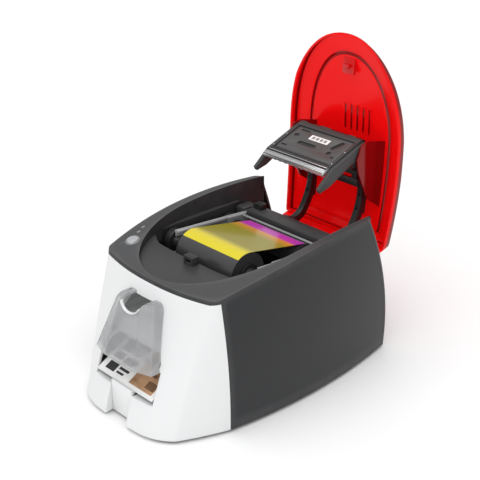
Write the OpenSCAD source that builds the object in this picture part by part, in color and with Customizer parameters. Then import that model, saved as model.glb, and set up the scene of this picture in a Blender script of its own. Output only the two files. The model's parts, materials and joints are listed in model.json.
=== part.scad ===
// Desktop card printer with a hinged cover, stood open, and its ribbon cassette seated in the bay.
// Millimetres. X runs across the printer, Y from the front panel to the back, Z up from the desk.
// The cover and what it carries are drawn shut, then turned open about the cover's hinge line.

/* [Casing] */
// Greatest width of the casing
body_w = 212; // [208:1:216]
// Depth of the casing at its foot
body_d = 325; // [322:1:328]
// Height of the highest point of the rim above the desk
rim_top = 171.5; // [170:0.5:173]
// Height of the feet
foot_h = 4; // [3:0.5:5]
// Thickness of the casing's walls
wall = 2.8; // [2.4:0.1:3.2]
// How far the front leans back between its foot and its top edge
front_lean = 53; // [51:1:55]
// How far the back leans forward between its foot and the rim
back_lean = 34; // [32:1:36]
// Thickness of the dark rim around the opening
rim_t = 3.2; // [2.8:0.1:3.6]
// Gap at the seam between the front panel and the housing
seam = 0.4; // [0.2:0.1:0.6]
// Gap between the cover and the rim around it
cover_gap = 5; // [4.5:0.25:5.5]

/* [Cover] */
// Width of the cover
cover_w = 162; // [160:1:163]
// Distance from the cover's tip to the back of the casing's rim
cover_l = 228; // [226:1:229]
// Thickness of the cover's wall
cover_t = 2.6; // [2.2:0.1:3]
// Depth of the cover's side skirt
skirt = 11; // [9:0.5:12]
// Height of the cover's crown over its edge
crown = 8; // [6:0.5:9]
// How far the cover opens, in degrees
open_deg = 96; // [92:1:98]
// Distance of the hinge line behind the casing's middle
hinge_y = 129.2; // [128.6:0.2:129.8]
// Height of the hinge line above the desk
hinge_z = 124.5; // [124:0.5:125]
// Diameter of each hinge pin
pin_d = 6; // [5:0.5:6.5]
// Distance of each hinge arm from the middle
arm_x = 38; // [36:1:39]
// Thickness of a hinge arm
arm_t = 7; // [6:0.5:8]
// Number of vent slots in the cover
vents = 5; // [3:1:6]

/* [Cassette] */
// Distance between the two spools
spool_gap = 83; // [82:0.5:84]
// Place of the supply spool's axis along the printer, seated
supply_y = -14.5; // [-15:0.5:-14]
// Height of the supply spool's axis, seated
supply_z = 136; // [135.5:0.5:137]
// Downward tilt of the cassette towards the back, in degrees
cassette_tilt = 4.4; // [4:0.2:4.8]
// Radius of the full ribbon roll
roll_r = 23.5; // [22:0.5:24]
// Radius of the take-up roll
takeup_r = 14; // [13:0.5:14.5]
// Width of the ribbon
ribbon_w = 88; // [87:1:90]
// Radius of the hub at a spool's end
hub_r = 14; // [13:0.5:14.5]
// How far each hub stands out past its plate
hub_out = 10; // [9:0.5:10.5]
// Distance between the outer faces of the two cassette plates
plate_span = 130; // [129:1:131]
// Thickness of a cassette plate
plate_t = 2.5; // [2:0.1:3]

/* [Cards and rollers] */
// Length of a card
card_l = 85.6; // [85:0.1:86]
// Width of a card
card_w = 54; // [53.5:0.1:54.5]
// Thickness of a card
card_t = 0.76; // [0.7:0.02:0.8]
// Number of blank cards in the feeder
cards = 22; // [10:1:22]
// Radius of the platen and of the feed roller
roller_r = 8; // [7.6:0.1:8.2]
// Radius of the roller shafts
shaft_r = 3; // [2.5:0.25:3.5]
// Thickness of a gear
gear_t = 4; // [3:0.5:5]

/* [Hidden] */
$fn = 48;
run = 0.05;
half_w = body_w / 2;
front_y = 2.5 - body_d / 2;
back_y = 2.5 + body_d / 2;
top_h = 150;
rim_y = 90;
rim_k = 0.00066;
corner_r = 10;
tall = 400;

// ---- small helpers ----
function lerp(a, b, t) = a + (b - a) * t;
function flat(list) = [for (l = list) for (p = l) p];
function flip(list) = [for (i = [len(list) - 1:-1:0]) list[i]];
function both(half) = concat(half, [for (i = [len(half) - 2:-1:1]) [-half[i][0], half[i][1]]]);
function unit(v) = v / norm(v);
function arc(cx, cy, r, a, b, n) = [for (i = [0:n]) let(t = lerp(a, b, i / n)) [cx + r * cos(t), cy + r * sin(t)]];

// Closed ribbon-shaped outline of half-width h along a list of points.
function along(p, h) =
    let(n = len(p) - 1,
        dir = [for (i = [0:n]) unit(p[min(i + 1, n)] - p[max(i - 1, 0)])],
        left = [for (i = [0:n]) p[i] + h * [-dir[i][1], dir[i][0]]],
        right = [for (i = [0:n]) p[i] - h * [-dir[i][1], dir[i][0]]])
    concat(left, flip(right));

// Profile drawn in Y and Z, given a thickness along X and centred at x.
module slab(x, t) translate([x - t / 2, 0, 0]) rotate([90, 0, 90]) linear_extrude(t) children();
module yz(points, x, t) slab(x, t) polygon(points);
// Round bar along X, centred at x.
module bar(x, y, z, r, t) translate([x - t / 2, y, z]) rotate([0, 90, 0]) cylinder(r = r, h = t);
module block(lo, hi) translate(lo) cube(hi - lo);
module pair() { children(); mirror([1, 0, 0]) children(); }

// Solid through a stack of rings with equal counts, lowest first, each going round to the left.
module loft(rings) {
    n = len(rings[0]);
    m = len(rings);
    polyhedron(points = flat(rings), faces = concat(
        [[for (i = [0:n - 1]) i]],
        [[for (i = [n - 1:-1:0]) (m - 1) * n + i]],
        flat([for (k = [0:m - 2]) flat([for (i = [0:n - 1]) let(j = (i + 1) % n, a = k * n, b = a + n)
            [[a + i, b + i, b + j], [a + i, b + j, a + j]]])])));
}

// ---- casing outline: plan sections that change with the height h above the feet ----
function side_w(h) = half_w - 0.00076 * pow(h - 55, 2);
function side_x(h, y) = side_w(h) - (y < 17 ? lerp(0.00082, 0.00108, h / top_h) : 0.00074) * pow(y - 17, 2);
function face_y(h) = front_y + front_lean * pow(max(h, 0) / 142, 1.15);
function rear_y(h) = back_y - back_lean * pow(max(h, 0) / 164, 2);
function crease_x(h) = half_w - 33 + 7 * h / 146;
function crease_y(h) = front_y + 20 + 42 * pow(max(h, 0) / 146, 1.1);
function seam_y(h) = front_y + 73.5 - 5.5 * h / top_h;
function half_outline(h, d) =
    let(yf = face_y(h) + d, xc = crease_x(h) - 0.8 * d, yc = crease_y(h) + 0.6 * d,
        p = lerp(4, 2.2, h / 146), yb = seam_y(h), xb = side_x(h, yb) - d,
        ye = rear_y(h) - d - corner_r - 2, xe = side_x(h, ye) - d - corner_r)
    concat(
        [for (i = [0:9]) let(t = i / 10) [xc * t, lerp(yf, yc, pow(t, p))]],
        [for (i = [0:3]) let(t = i / 4) [lerp(xc, xb, t) + 5 * t * (1 - t), lerp(yc, yb, t)]],
        [for (i = [0:11]) let(y = lerp(yb, ye, i / 12)) [side_x(h, y) - d, y]],
        arc(xe, ye, corner_r, 0, 72, 4),
        [for (i = [0:3]) let(x = xe * (1 - i / 3)) [x, ye + corner_r + 2 * (1 - pow(x / xe, 2))]]);
function casing_ring(z, d) = [for (p = both(half_outline(z - foot_h, d))) [p[0], p[1], z]];
module casing(d, levels) loft([for (z = levels) casing_ring(z, d)]);

// Height of the rim, which rises in a long arc from the front to the back.
function rim_z(y) = rim_top - rim_k * pow(y - rim_y, 2);
rim_ys = [for (i = [-12:12]) i * 15];
module under_rim(drop) yz(concat([[-180, -50]], [for (y = rim_ys) [y, rim_z(y) - drop]], [[180, -50]]), 0, tall);
module over_rim(drop) yz(concat([for (y = rim_ys) [y, rim_z(y) - drop]], [[180, tall], [-180, tall]]), 0, tall);
module ahead_of_seam(gap) yz([[-tall, -10], [seam_y(-10) - gap, -10], [seam_y(190) - gap, 190], [-tall, 190]], 0, tall);

// ---- arch shared by the cover, the opening and the deck ----
cover_rear = rear_y(rim_top - foot_h) + 1.5;
cover_tip = cover_rear - cover_l;
arch_mid = cover_tip + 116;
arch_n = 2.1;
side_ys = [for (i = [0:5]) lerp(45, cover_rear, i / 5)];
function narrowing(y) = y < 45 ? 0 : 5 * pow((y - 45) / 86, 1.5);
function arch_half(out, y_end) =
    let(w = cover_w / 2 + out, l = arch_mid - cover_tip + out)
    concat([for (i = [0:14]) let(a = 90 * i / 14)
        [w * pow(sin(a), 2 / arch_n), arch_mid - l * pow(cos(a), 2 / arch_n)]],
        [for (y = side_ys) if (y < y_end) [w - narrowing(y), y]],
        [[w - narrowing(min(y_end, cover_rear)), y_end], [0, y_end]]);
module arch(out, y_end) polygon(both(arch_half(out, y_end)));
notch_x = cover_w / 2 - 1;
apron_x = notch_x - 5;
apron_z = 104;

// ---- bay outline ----
hub_span = plate_span + 2 * hub_out;
bay_x = hub_span / 2 + 5.5;
bay_front = -48;
bay_rear = 88;
bay_floor = 24;
deck_z = 146;
deck_dish = 4;
lip_z = deck_z - 9;
function deck_at(x) = deck_z + deck_dish * pow(max(abs(x) - 20, 0) / 60, 2);
function bay_half(d) = [[0, bay_front - d], [58, bay_front - d], [66, bay_front + 3 - d], [bay_x - 4, -38.5 - d],
    [bay_x + d, -34 - d], [bay_x + d, bay_rear + d], [0, bay_rear + d]];
module bay(d) polygon(both(bay_half(d)));

foot_x = body_w / 2 - 34;
foot_front = front_y + 65;
foot_rear = back_y - 45;
boss_x = body_w / 2 - 16;
boss_ys = [front_y + 90, back_y - 105];
plate_top = foot_h + 3;

module base_plate() color([0.2, 0.2, 0.21]) difference() {
    union() {
        intersection() {
            casing(wall + seam, [inner_levels[0], inner_levels[1]]);
            block([-tall, -tall, foot_h], [tall, tall, plate_top]);
        }
        pair() for (y = boss_ys) translate([boss_x, y, foot_h]) cylinder(r = 4, h = 15);
    }
    for (x = [-60:12:60]) for (y = [30, 62]) block([x - 2, y, 0], [x + 2, y + 22, 20]);
    block([-outlet_x - 5, -tall, -1], [outlet_x + 5, front_y + 18.5, 50]);
    pair() for (y = [foot_front, foot_rear]) translate([foot_x, y, -1]) cylinder(r = 4, h = 20);
    pair() for (y = boss_ys) translate([boss_x, y, -1]) cylinder(r = 1.5, h = 50);
}

module rubber_feet() color([0.08, 0.08, 0.08])
    union() {
        pair() for (y = [foot_front, foot_rear]) translate([foot_x, y, 0]) {
            cylinder(r = 9, h = foot_h);
            cylinder(r = 4, h = plate_top);
        }
        cylinder(r = 9, h = foot_h);
    }

// ---- front panel with the feeder window, the card outlet and its thumb notch ----
feeder_low = 69;
feeder_high = 128;
feeder_low_x = 43.5;
feeder_high_x = 26;
outlet_low = 35;
outlet_x = 46;
thumb_x = 17;
panel_levels = [for (i = [0:10]) foot_h + i * 17];
inner_levels = [for (i = [0:5]) foot_h - 2 + i * 34.2];
window = [[-feeder_low_x, feeder_low - 1], [feeder_low_x, feeder_low - 1], [feeder_low_x, feeder_low + 8],
    [feeder_high_x, feeder_high - 8], [feeder_high_x - 8, feeder_high],
    [8 - feeder_high_x, feeder_high], [-feeder_high_x, feeder_high - 8], [-feeder_low_x, feeder_low + 8]];
module across(points, y0, y1) translate([0, y1, 0]) rotate([90, 0, 0]) linear_extrude(y1 - y0) polygon(points);

module front_panel() color([0.95, 0.95, 0.95]) difference() {
    intersection() {
        casing(0, panel_levels);
        under_rim(rim_t + seam);
        ahead_of_seam(seam);
    }
    difference() {
        casing(wall, inner_levels);
        block([-outlet_x - 4, -tall, 0], [outlet_x + 4, -142, outlet_low]);
    }
    across(window, -tall, -60);
    block([-outlet_x, -tall, outlet_low], [outlet_x, -60, feeder_low]);
    block([-thumb_x, -tall, -1], [thumb_x, -60, outlet_low + 1]);
}

// ---- dark housing: sides, back and the rim that runs round the opening ----
inlet_at = [-52, 34];
usb_at = [-24, 34];
button_at = [34 - body_w / 2, front_y + 87];
button_r = 6.2;
bezel_t = 1.5;

module housing() color([0.25, 0.25, 0.26]) difference() {
    intersection() {
        casing(0, panel_levels);
        under_rim(0);
        union() {
            difference() {
                block([-tall, -tall, 0], [tall, tall, tall]);
                ahead_of_seam(0);
            }
            over_rim(rim_t);
        }
    }
    difference() {
        intersection() {
            casing(wall, inner_levels);
            under_rim(rim_t);
        }
        translate([0, 0, lip_z + 1]) linear_extrude(tall) arch(cover_gap + 2.2, tall);
    }
    translate([0, 0, lip_z]) linear_extrude(tall) arch(cover_gap, tall);
    block([-notch_x, 100, apron_z - 3], [notch_x, tall, tall]);
    block([inlet_at[0] - 5.2, 100, inlet_at[1] - 5.2], [inlet_at[0] + 5.2, tall, inlet_at[1] + 5.2]);
    block([usb_at[0] - 6.3, 100, usb_at[1] - 5.8], [usb_at[0] + 6.3, tall, usb_at[1] + 5.8]);
    for (i = [0:8]) for (s = [-1, 1]) block([s * 62 - 16 + i * 4, 100, 62], [s * 62 - 14 + i * 4, tall, 84]);
    translate([button_at[0], button_at[1], 100]) cylinder(r = button_r + bezel_t + 0.1, h = tall);
}

// ---- deck and tub that the cassette drops into ----
tub_wall = 2.5;
supply = [supply_y, supply_z];
takeup = supply + spool_gap * [cos(cassette_tilt), -sin(cassette_tilt)];
// Straight line along which the cassette lifts out, in Y and Z.
lift_dir = unit([-64.5, 133.3]);
plate_in = plate_span / 2 - plate_t;
plate_slot = [plate_in - 0.9, plate_span / 2 + 0.9];
cradle = [plate_span / 2 + 2.5, hub_span / 2 - 0.8];

module bay_frame() color([0.8, 0.8, 0.8]) difference() {
    union() {
        intersection() {
            translate([0, 0, deck_z - 6]) linear_extrude(tall) arch(cover_gap - 0.3, bay_rear + tub_wall);
            across(concat([[-90, deck_z - 4]], [for (x = [-90:10:90]) [x, deck_at(x)]], [[90, deck_z - 4]]), -tall, tall);
        }
        translate([0, 0, bay_floor]) linear_extrude(lip_z - 0.3 - bay_floor) bay(tub_wall);
        translate([0, 0, lip_z - 1]) linear_extrude(deck_z - lip_z - 2) intersection() {
            bay(tub_wall);
            arch(cover_gap - 0.3, bay_rear + tub_wall);
        }
    }
    difference() {
        translate([0, 0, bay_floor + 3]) linear_extrude(tall) bay(0);
        pair() difference() {
            for (c = [supply, takeup]) block([cradle[0], c[0] - 18, 0], [bay_x + 1, min(c[0] + 18, beam_y[0] - 0.3), c[1] - 4]);
            for (c = [supply, takeup]) slab(0, tall) polygon(along([c, c + 100 * lift_dir], hub_r + 0.3));
            for (c = [supply, takeup]) bar(0, c[0], c[1], hub_r + 0.3, tall);
            block([cradle[1], -tall, -1], [bay_x + 3, tall, tall]);
        }
    }
    block([-67, -tall, 34], [67, bay_front + 3.5, 100]);
    block([-apron_x - 5, bay_rear - 1, 119], [apron_x + 5, tall, tall]);
    pair() block([plate_slot[0], bay_rear - 5, 98], [plate_slot[1], tall, tall]);
    for (x = [-40:20:40]) translate([x, 20, 0]) cylinder(r = 4, h = 60);
}

// ---- beam behind the bay, with the trough under the take-up spool and the hinge ears ----
beam_y = [84, 104];
beam_top = 147;
ear_x = [[arm_x - arm_t / 2 - 4.5, arm_x - arm_t / 2 - 1], [arm_x + arm_t / 2 + 1, arm_x + arm_t / 2 + 4.5]];
trough_r = 18.5;

module rear_beam() color([0.72, 0.72, 0.73]) {
    difference() {
        slab(0, 2 * notch_x - 3) difference() {
            translate([beam_y[0], 119]) square([beam_y[1] - beam_y[0], beam_top - 119]);
            translate(takeup) circle(r = trough_r, $fn = 96);
        }
        pair() block([plate_slot[0], beam_y[0] - 5, 98], [plate_slot[1], 96, tall]);
    }
    slab(0, 116) intersection() {
        translate(takeup) difference() {
            circle(r = trough_r + 2.5, $fn = 96);
            circle(r = trough_r, $fn = 96);
        }
        translate(takeup) polygon([[0, 0], 60 * [cos(-100), sin(-100)], [60, -60], [60, 60 * sin(-24)]]);
    }
    pair() for (e = ear_x) translate([e[0], 0, 0]) slab((e[1] - e[0]) / 2, e[1] - e[0]) difference() {
        union() {
            translate([beam_y[1], hinge_z - 7]) square([hinge_y - beam_y[1], 15]);
            translate([hinge_y, hinge_z]) circle(r = 7.5);
        }
        translate([hinge_y, hinge_z]) circle(d = pin_d);
    }
}

module hinge_pins() color([0.75, 0.75, 0.76])
    pair() bar(arm_x, hinge_y, hinge_z, pin_d / 2, arm_t + 11);

catch_h = 9;
module latch_catch() color([0.3, 0.3, 0.31]) difference() {
    block([-7, bay_front - 10, deck_z], [7, bay_front - 1, deck_z + catch_h]);
    block([-4, bay_front - 11, deck_z + 2], [4, bay_front - 6, deck_z + 6]);
}

module ribbon_sensor() color([0.15, 0.15, 0.16]) difference() {
    block([-60, beam_y[0] + 9, beam_top], [-48, beam_y[1] - 1, beam_top + 6]);
    for (x = [-58:2.5:-50]) block([x, beam_y[0] + 8, beam_top + 2.5], [x + 1, beam_y[1] - 4, beam_top + 7]);
}

module at_button() translate([button_at[0], button_at[1], 0]) children();
module button_bezel() color([0.35, 0.35, 0.36]) intersection() {
    at_button() difference() {
        translate([0, 0, 143]) cylinder(r = button_r + bezel_t, h = 30);
        cylinder(r = button_r, h = tall);
    }
    under_rim(-0.8);
}
module power_button() color([0.8, 0.8, 0.82]) intersection() {
    at_button() translate([0, 0, 143]) cylinder(r = button_r - 0.1, h = 30);
    under_rim(-2.2);
}

// ---- card path: three rollers in line, driven from the left by one train of gears ----
path_z = 71.4;
frame_in = 52;
frame_t = 3;
gear_x = -frame_in - frame_t - 2 - gear_t / 2;
roller_teeth = 24;
pick_teeth = 20;
idler_teeth = [50, 40];
pinion_teeth = 12;
platen_y = 44;
idler_y = platen_y - (roller_teeth + idler_teeth[0]) / 2;
feed_y = idler_y - (roller_teeth + idler_teeth[0]) / 2;
link_y = feed_y - (roller_teeth + idler_teeth[1]) / 2;
pick_y = link_y - (pick_teeth + idler_teeth[1]) / 2;
pinion_z = path_z - (pinion_teeth + idler_teeth[0]) / 2;
boss_r = shaft_r + 3;

// Turn that puts a gear in mesh with a neighbour at pa, seen from that neighbour in direction dir.
function mesh(pa, na, dir, nb) =
    let(pitch = 360 / na, k = round((dir - pa) / pitch), off = pa + k * pitch - dir)
    dir + 180 - off * na / nb + 180 / nb;
platen_turn = 0;
idler_turn = mesh(platen_turn, roller_teeth, 180, idler_teeth[0]);
feed_turn = mesh(idler_turn, idler_teeth[0], 180, roller_teeth);
link_turn = mesh(feed_turn, roller_teeth, 180, idler_teeth[1]);
pick_turn = mesh(link_turn, idler_teeth[1], 180, pick_teeth);
pinion_turn = mesh(idler_turn, idler_teeth[0], -90, pinion_teeth);

module gear(y, z, n, turn, bore) slab(gear_x, gear_t) translate([y, z]) rotate(turn) difference() {
    polygon([for (i = [0:n - 1]) for (k = [[-97, -1.1], [-43, 0.75], [43, 0.75], [97, -1.1]])
        let(a = (i * 360 + k[0]) / n, r = n / 2 + k[1]) [r * cos(a), r * sin(a)]]);
    circle(r = bore);
    if (n > 30) for (a = [0:60:300]) rotate(a) translate([n / 4 + 1, 0]) circle(r = n / 14);
}
module shaft(y) difference() {
    bar(-2.5, y, path_z, shaft_r, 2 * frame_in + 2 * frame_t + 9);
    block([gear_x - gear_t, y + shaft_r - 0.5, path_z - 4], [gear_x + gear_t / 2, y + shaft_r + 1, path_z + 4]);
}
module tyre(y, r, t) difference() {
    bar(0, y, path_z, r, t);
    bar(0, y, path_z, shaft_r, t + 2);
}

bush_ys = [platen_y, feed_y, pick_y];
module frame_plate() slab(frame_in + frame_t / 2, frame_t) difference() {
    union() {
        polygon([[-104, plate_top], [bay_front - 9, plate_top], [bay_front - 9, 36], [bay_front + 5, 36],
            [bay_front + 5, bay_floor + 3], [62, bay_floor + 3], [62, 84], [54, 95], [-40, 95], [-56, 86], [-104, 86]]);
    }
    for (y = bush_ys) translate([y, path_z]) circle(r = shaft_r + 2);
    translate([-78, 22]) circle(r = 9);
    translate([-22, 48]) circle(r = 9);
    translate([34, 44]) circle(r = 9);
}
module path_frame_right() color([0.7, 0.7, 0.72]) frame_plate();
module path_frame_left() color([0.7, 0.7, 0.72]) {
    difference() {
        mirror([1, 0, 0]) frame_plate();
        bar(-frame_in, idler_y, pinion_z, 5, 20);
    }
    for (y = [idler_y, link_y]) bar(gear_x + 1, y, path_z, shaft_r, gear_t + 4);
}
module roller_bushes() color([0.75, 0.6, 0.3]) pair() for (y = bush_ys) difference() {
    bar(frame_in + frame_t / 2, y, path_z, shaft_r + 2, frame_t);
    bar(frame_in, y, path_z, shaft_r + run, 20);
}

module platen_shaft() color([0.8, 0.8, 0.82]) shaft(platen_y);
module platen_rubber() color([0.1, 0.1, 0.1]) tyre(platen_y, roller_r, 86);
module platen_gear() color([0.92, 0.92, 0.9]) shaft_gear(platen_y, roller_teeth, platen_turn);
module feed_shaft() color([0.8, 0.8, 0.82]) shaft(feed_y);
module feed_rubber() color([0.1, 0.1, 0.1]) tyre(feed_y, roller_r, 86);
module feed_gear() color([0.92, 0.92, 0.9]) shaft_gear(feed_y, roller_teeth, feed_turn);
module pick_shaft() color([0.8, 0.8, 0.82]) shaft(pick_y);
module pick_rubber() color([0.1, 0.1, 0.1]) tyre(pick_y, roller_r, 30);
module pick_gear() color([0.92, 0.92, 0.9]) shaft_gear(pick_y, pick_teeth, pick_turn);
module shaft_gear(y, n, turn) difference() {
    gear(y, path_z, n, turn, 1);
    shaft(y);
}
module front_idler() color([0.92, 0.92, 0.9]) gear(idler_y, path_z, idler_teeth[0], idler_turn, shaft_r + run);
module rear_idler() color([0.92, 0.92, 0.9]) gear(link_y, path_z, idler_teeth[1], link_turn, shaft_r + run);
module motor_pinion() color([0.85, 0.7, 0.35]) gear(idler_y, pinion_z, pinion_teeth, pinion_turn, 1.5 + run);
module motor() color([0.55, 0.55, 0.57]) {
    bar(-frame_in + 17.5, idler_y, pinion_z, 12.5, 35);
    bar(gear_x + 4, idler_y, pinion_z, 1.5, 14);
}

// ---- card guide, hopper and stack ----
card_plane = path_z + roller_r;
stack_y = [front_y + 40, front_y + 40 + card_w];
hopper_in = card_l / 2 + 0.3;
hopper_t = 1.8;
hopper_arm_x = 39.2;
hopper_end = stack_y[1] + 2.5;
cover_axis = [front_y + 19.5, 71];

module card_guide() color([0.75, 0.75, 0.76]) for (y = [[hopper_end + 0.1, feed_y - 11], [feed_y + 11, platen_y - 11]])
    difference() {
        block([-frame_in, y[0], card_plane - 3], [frame_in, y[1], card_plane - 0.6]);
        for (x = [-36:12:36]) block([x - 3, y[0] + 3, 0], [x + 3, y[1] - 3, tall]);
    }

module card_hopper() color([0.9, 0.9, 0.9]) difference() {
    union() {
        block([-hopper_in - hopper_t, stack_y[0] - 0.5, card_plane - 2], [hopper_in + hopper_t, hopper_end, card_plane]);
        pair() block([hopper_in, stack_y[0] - 0.5, card_plane - 2], [hopper_in + hopper_t, hopper_end, card_plane + 24]);
        block([-hopper_in, stack_y[1] + 0.4, card_plane + card_t + 0.3], [hopper_in, stack_y[1] + 2.4, card_plane + 24]);
        pair() block([hopper_in, -90, card_plane + 1], [frame_in, -70, card_plane + 4]);
        pair() slab(hopper_arm_x, 2) difference() {
            union() {
                polygon(along([[stack_y[0], card_plane - 0.9], [front_y + 29, 75.2], cover_axis], 2.2));
                translate(cover_axis) circle(r = 2.4);
            }
            translate(cover_axis) circle(r = 1.5 + run);
        }
    }
    block([-18, pick_y - 10, 60], [18, pick_y + 10, card_plane + 0.1]);
    pair() block([30, stack_y[0] + 12, 60], [36, stack_y[1] - 12, card_plane + 0.1]);
}

module card_stack() color([0.97, 0.97, 0.97]) intersection() {
    block([-card_l / 2, stack_y[0], card_plane + 0.05], [card_l / 2, stack_y[1], card_plane + 0.05 + cards * card_t]);
    translate([0, (stack_y[0] + stack_y[1]) / 2, 0]) linear_extrude(tall) card_outline();
}
module card_outline() {
    square([card_l - 6.4, card_w], center = true);
    square([card_l, card_w - 6.4], center = true);
    for (x = [-1, 1]) for (y = [-1, 1]) translate([x * (card_l / 2 - 3.2), y * (card_w / 2 - 3.2)]) circle(r = 3.2);
}

// ---- tray under the outlet, with a printed card on it ----
tray_low = [front_y + 13, 40];
tray_high = [front_y + 37, 52.8];
tray_dir = unit(tray_high - tray_low);
tray_up = [-tray_dir[1], tray_dir[0]];
tray_x = outlet_x - 1.5;

module output_tray() color([0.93, 0.93, 0.93]) {
    yz(along([tray_low, tray_high], 1), 0, 2 * tray_x);
    block([-thumb_x + 0.6, front_y + 9.7, foot_h + 0.5], [thumb_x - 0.6, front_y + 12.4, 41]);
    block([-thumb_x + 0.6, front_y + 12, 36], [thumb_x - 0.6, front_y + 15, 39.5]);
    pair() yz([[front_y + 22, plate_top], [front_y + 35, plate_top], [front_y + 35, 51], [front_y + 22, 44.2]], tray_x - 3, 2);
}
module printed_card() color([0.97, 0.97, 0.97])
    let(a = tray_low + 1 * tray_dir + 1.05 * tray_up, b = a + card_w * tray_dir)
    yz([a, b, b + card_t * tray_up, a + card_t * tray_up], 0, card_l);

// ---- smoky cover over the feeder ----
feeder_top = 131;
cover_front_low = front_y + 6.5;
cover_front_high = front_y + 26;
function feeder_ring(z, d) =
    let(t = (z - feeder_low) / (feeder_top - feeder_low), y = lerp(cover_front_low, cover_front_high, t) + d,
        a = lerp(24, 16, t) - 0.4 * d, b = lerp(feeder_low_x + 1.5, feeder_high_x + 2, t) - d, back = front_y + 80)
    [[-b, back, z], [-b, y + 9, z], [-b + 3, y + 6, z], [-a, y, z], [a, y, z], [b - 3, y + 6, z], [b, y + 9, z], [b, back, z]];
module feeder_cover() color([0.35, 0.35, 0.37, 0.6]) {
    difference() {
        loft([for (z = [feeder_low, feeder_top - 8]) feeder_ring(z, 0), feeder_ring(feeder_top - 3, 1.2), feeder_ring(feeder_top, 5)]);
        loft([feeder_ring(feeder_low - 1, 2), feeder_ring(feeder_top - 8, 2), feeder_ring(feeder_top - 3, 3.2),
            feeder_ring(feeder_top - 2, 6)]);
        casing(-0.4, [for (i = [0:5]) 60 + i * 15]);
        across([for (i = [0:12]) let(a = 180 + i * 15) [15 * cos(a), feeder_top + 1 + 12 * sin(a)]], -tall, tall);
    }
    pair() bar(hopper_arm_x + 1.65, cover_axis[0], cover_axis[1], 1.5, 6);
}

// ---- board and sockets behind the bay ----
board_z = 24;
board_y = [back_y - 67, back_y - 7];
socket_y = back_y - 2;
module main_board() color([0.1, 0.35, 0.2]) {
    difference() {
        block([-70, board_y[0], board_z], [60, board_y[1], board_z + 1.6]);
        for (x = [-64, 54]) for (y = [board_y[0] + 6, board_y[1] - 8]) translate([x, y, 0]) cylinder(r = 1.6, h = tall);
    }
    for (x = [-64, 54]) for (y = [board_y[0] + 6, board_y[1] - 8]) translate([x, y, plate_top]) difference() {
        cylinder(r = 3.5, h = board_z - plate_top);
        translate([0, 0, 4]) cylinder(r = 1.2, h = tall);
    }
    block([0, board_y[0] + 20, board_z + 1.6], [20, board_y[0] + 40, board_z + 4]);
    block([30, board_y[0] + 14, board_z + 1.6], [36, board_y[0] + 42, board_z + 9]);
}
module socket(at, w, h) difference() {
    union() {
        block([at[0] - w, board_y[1] - 12, board_z + 1.6], [at[0] + w, board_y[1] - 1, at[1] + h]);
        block([at[0] - w, board_y[1] - 12, at[1] - h], [at[0] + w, socket_y, at[1] + h]);
    }
    children();
}
module power_inlet() color([0.08, 0.08, 0.08]) socket(inlet_at, 5, 5) difference() {
    translate([inlet_at[0], socket_y + 7, inlet_at[1]]) rotate([90, 0, 0]) cylinder(r = 3.2, h = 17);
    translate([inlet_at[0], socket_y + 7, inlet_at[1]]) rotate([90, 0, 0]) cylinder(r = 1, h = 30);
}
module usb_socket() color([0.75, 0.75, 0.77]) socket(usb_at, 6, 5.5) difference() {
    block([usb_at[0] - 4.3, socket_y - 13, usb_at[1] - 4], [usb_at[0] + 4.3, socket_y + 17, usb_at[1] + 4]);
    block([usb_at[0] - 2.8, socket_y - 23, usb_at[1] - 1.6], [usb_at[0] + 2.8, socket_y - 2, usb_at[1] + 1.6]);
}
module casing_screws() color([0.7, 0.7, 0.72]) pair() for (y = boss_ys) translate([boss_x, y, 0]) difference() {
    union() {
        translate([0, 0, foot_h - 2]) cylinder(r = 3, h = 2);
        cylinder(r = 1.4, h = foot_h + 12);
    }
    translate([0, 0, -1]) cylinder(r = 1.6, h = foot_h, $fn = 6);
}

// ---- cover: drawn shut, then turned open about the hinge line ----
module opened() translate([0, hinge_y, hinge_z]) rotate([-open_deg, 0, 0]) translate([0, -hinge_y, -hinge_z]) children();
// Plan outline of the cover, q inside its edge.
function cover_half(q) =
    let(w = cover_w / 2 - q, l = arch_mid - cover_tip - q, e = cover_rear - 0.45 * q)
    concat([for (i = [0:14]) let(a = 90 * i / 14)
        [w * pow(sin(a), 2 / arch_n), arch_mid - l * pow(cos(a), 2 / arch_n)]],
        [for (i = [1:6]) let(y = lerp(arch_mid, e, i / 6)) [w - narrowing(y), y]],
        [[w / 2, e + 0.75], [0, e + 1]]);
function skirt_z(x, y) = max(rim_z(y) - skirt, deck_at(x) + 0.6);
function cover_ring(q, h) = [for (p = both(cover_half(q))) [p[0], p[1], max(rim_z(p[1]) + h, skirt_z(p[0], p[1]))]];
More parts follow.
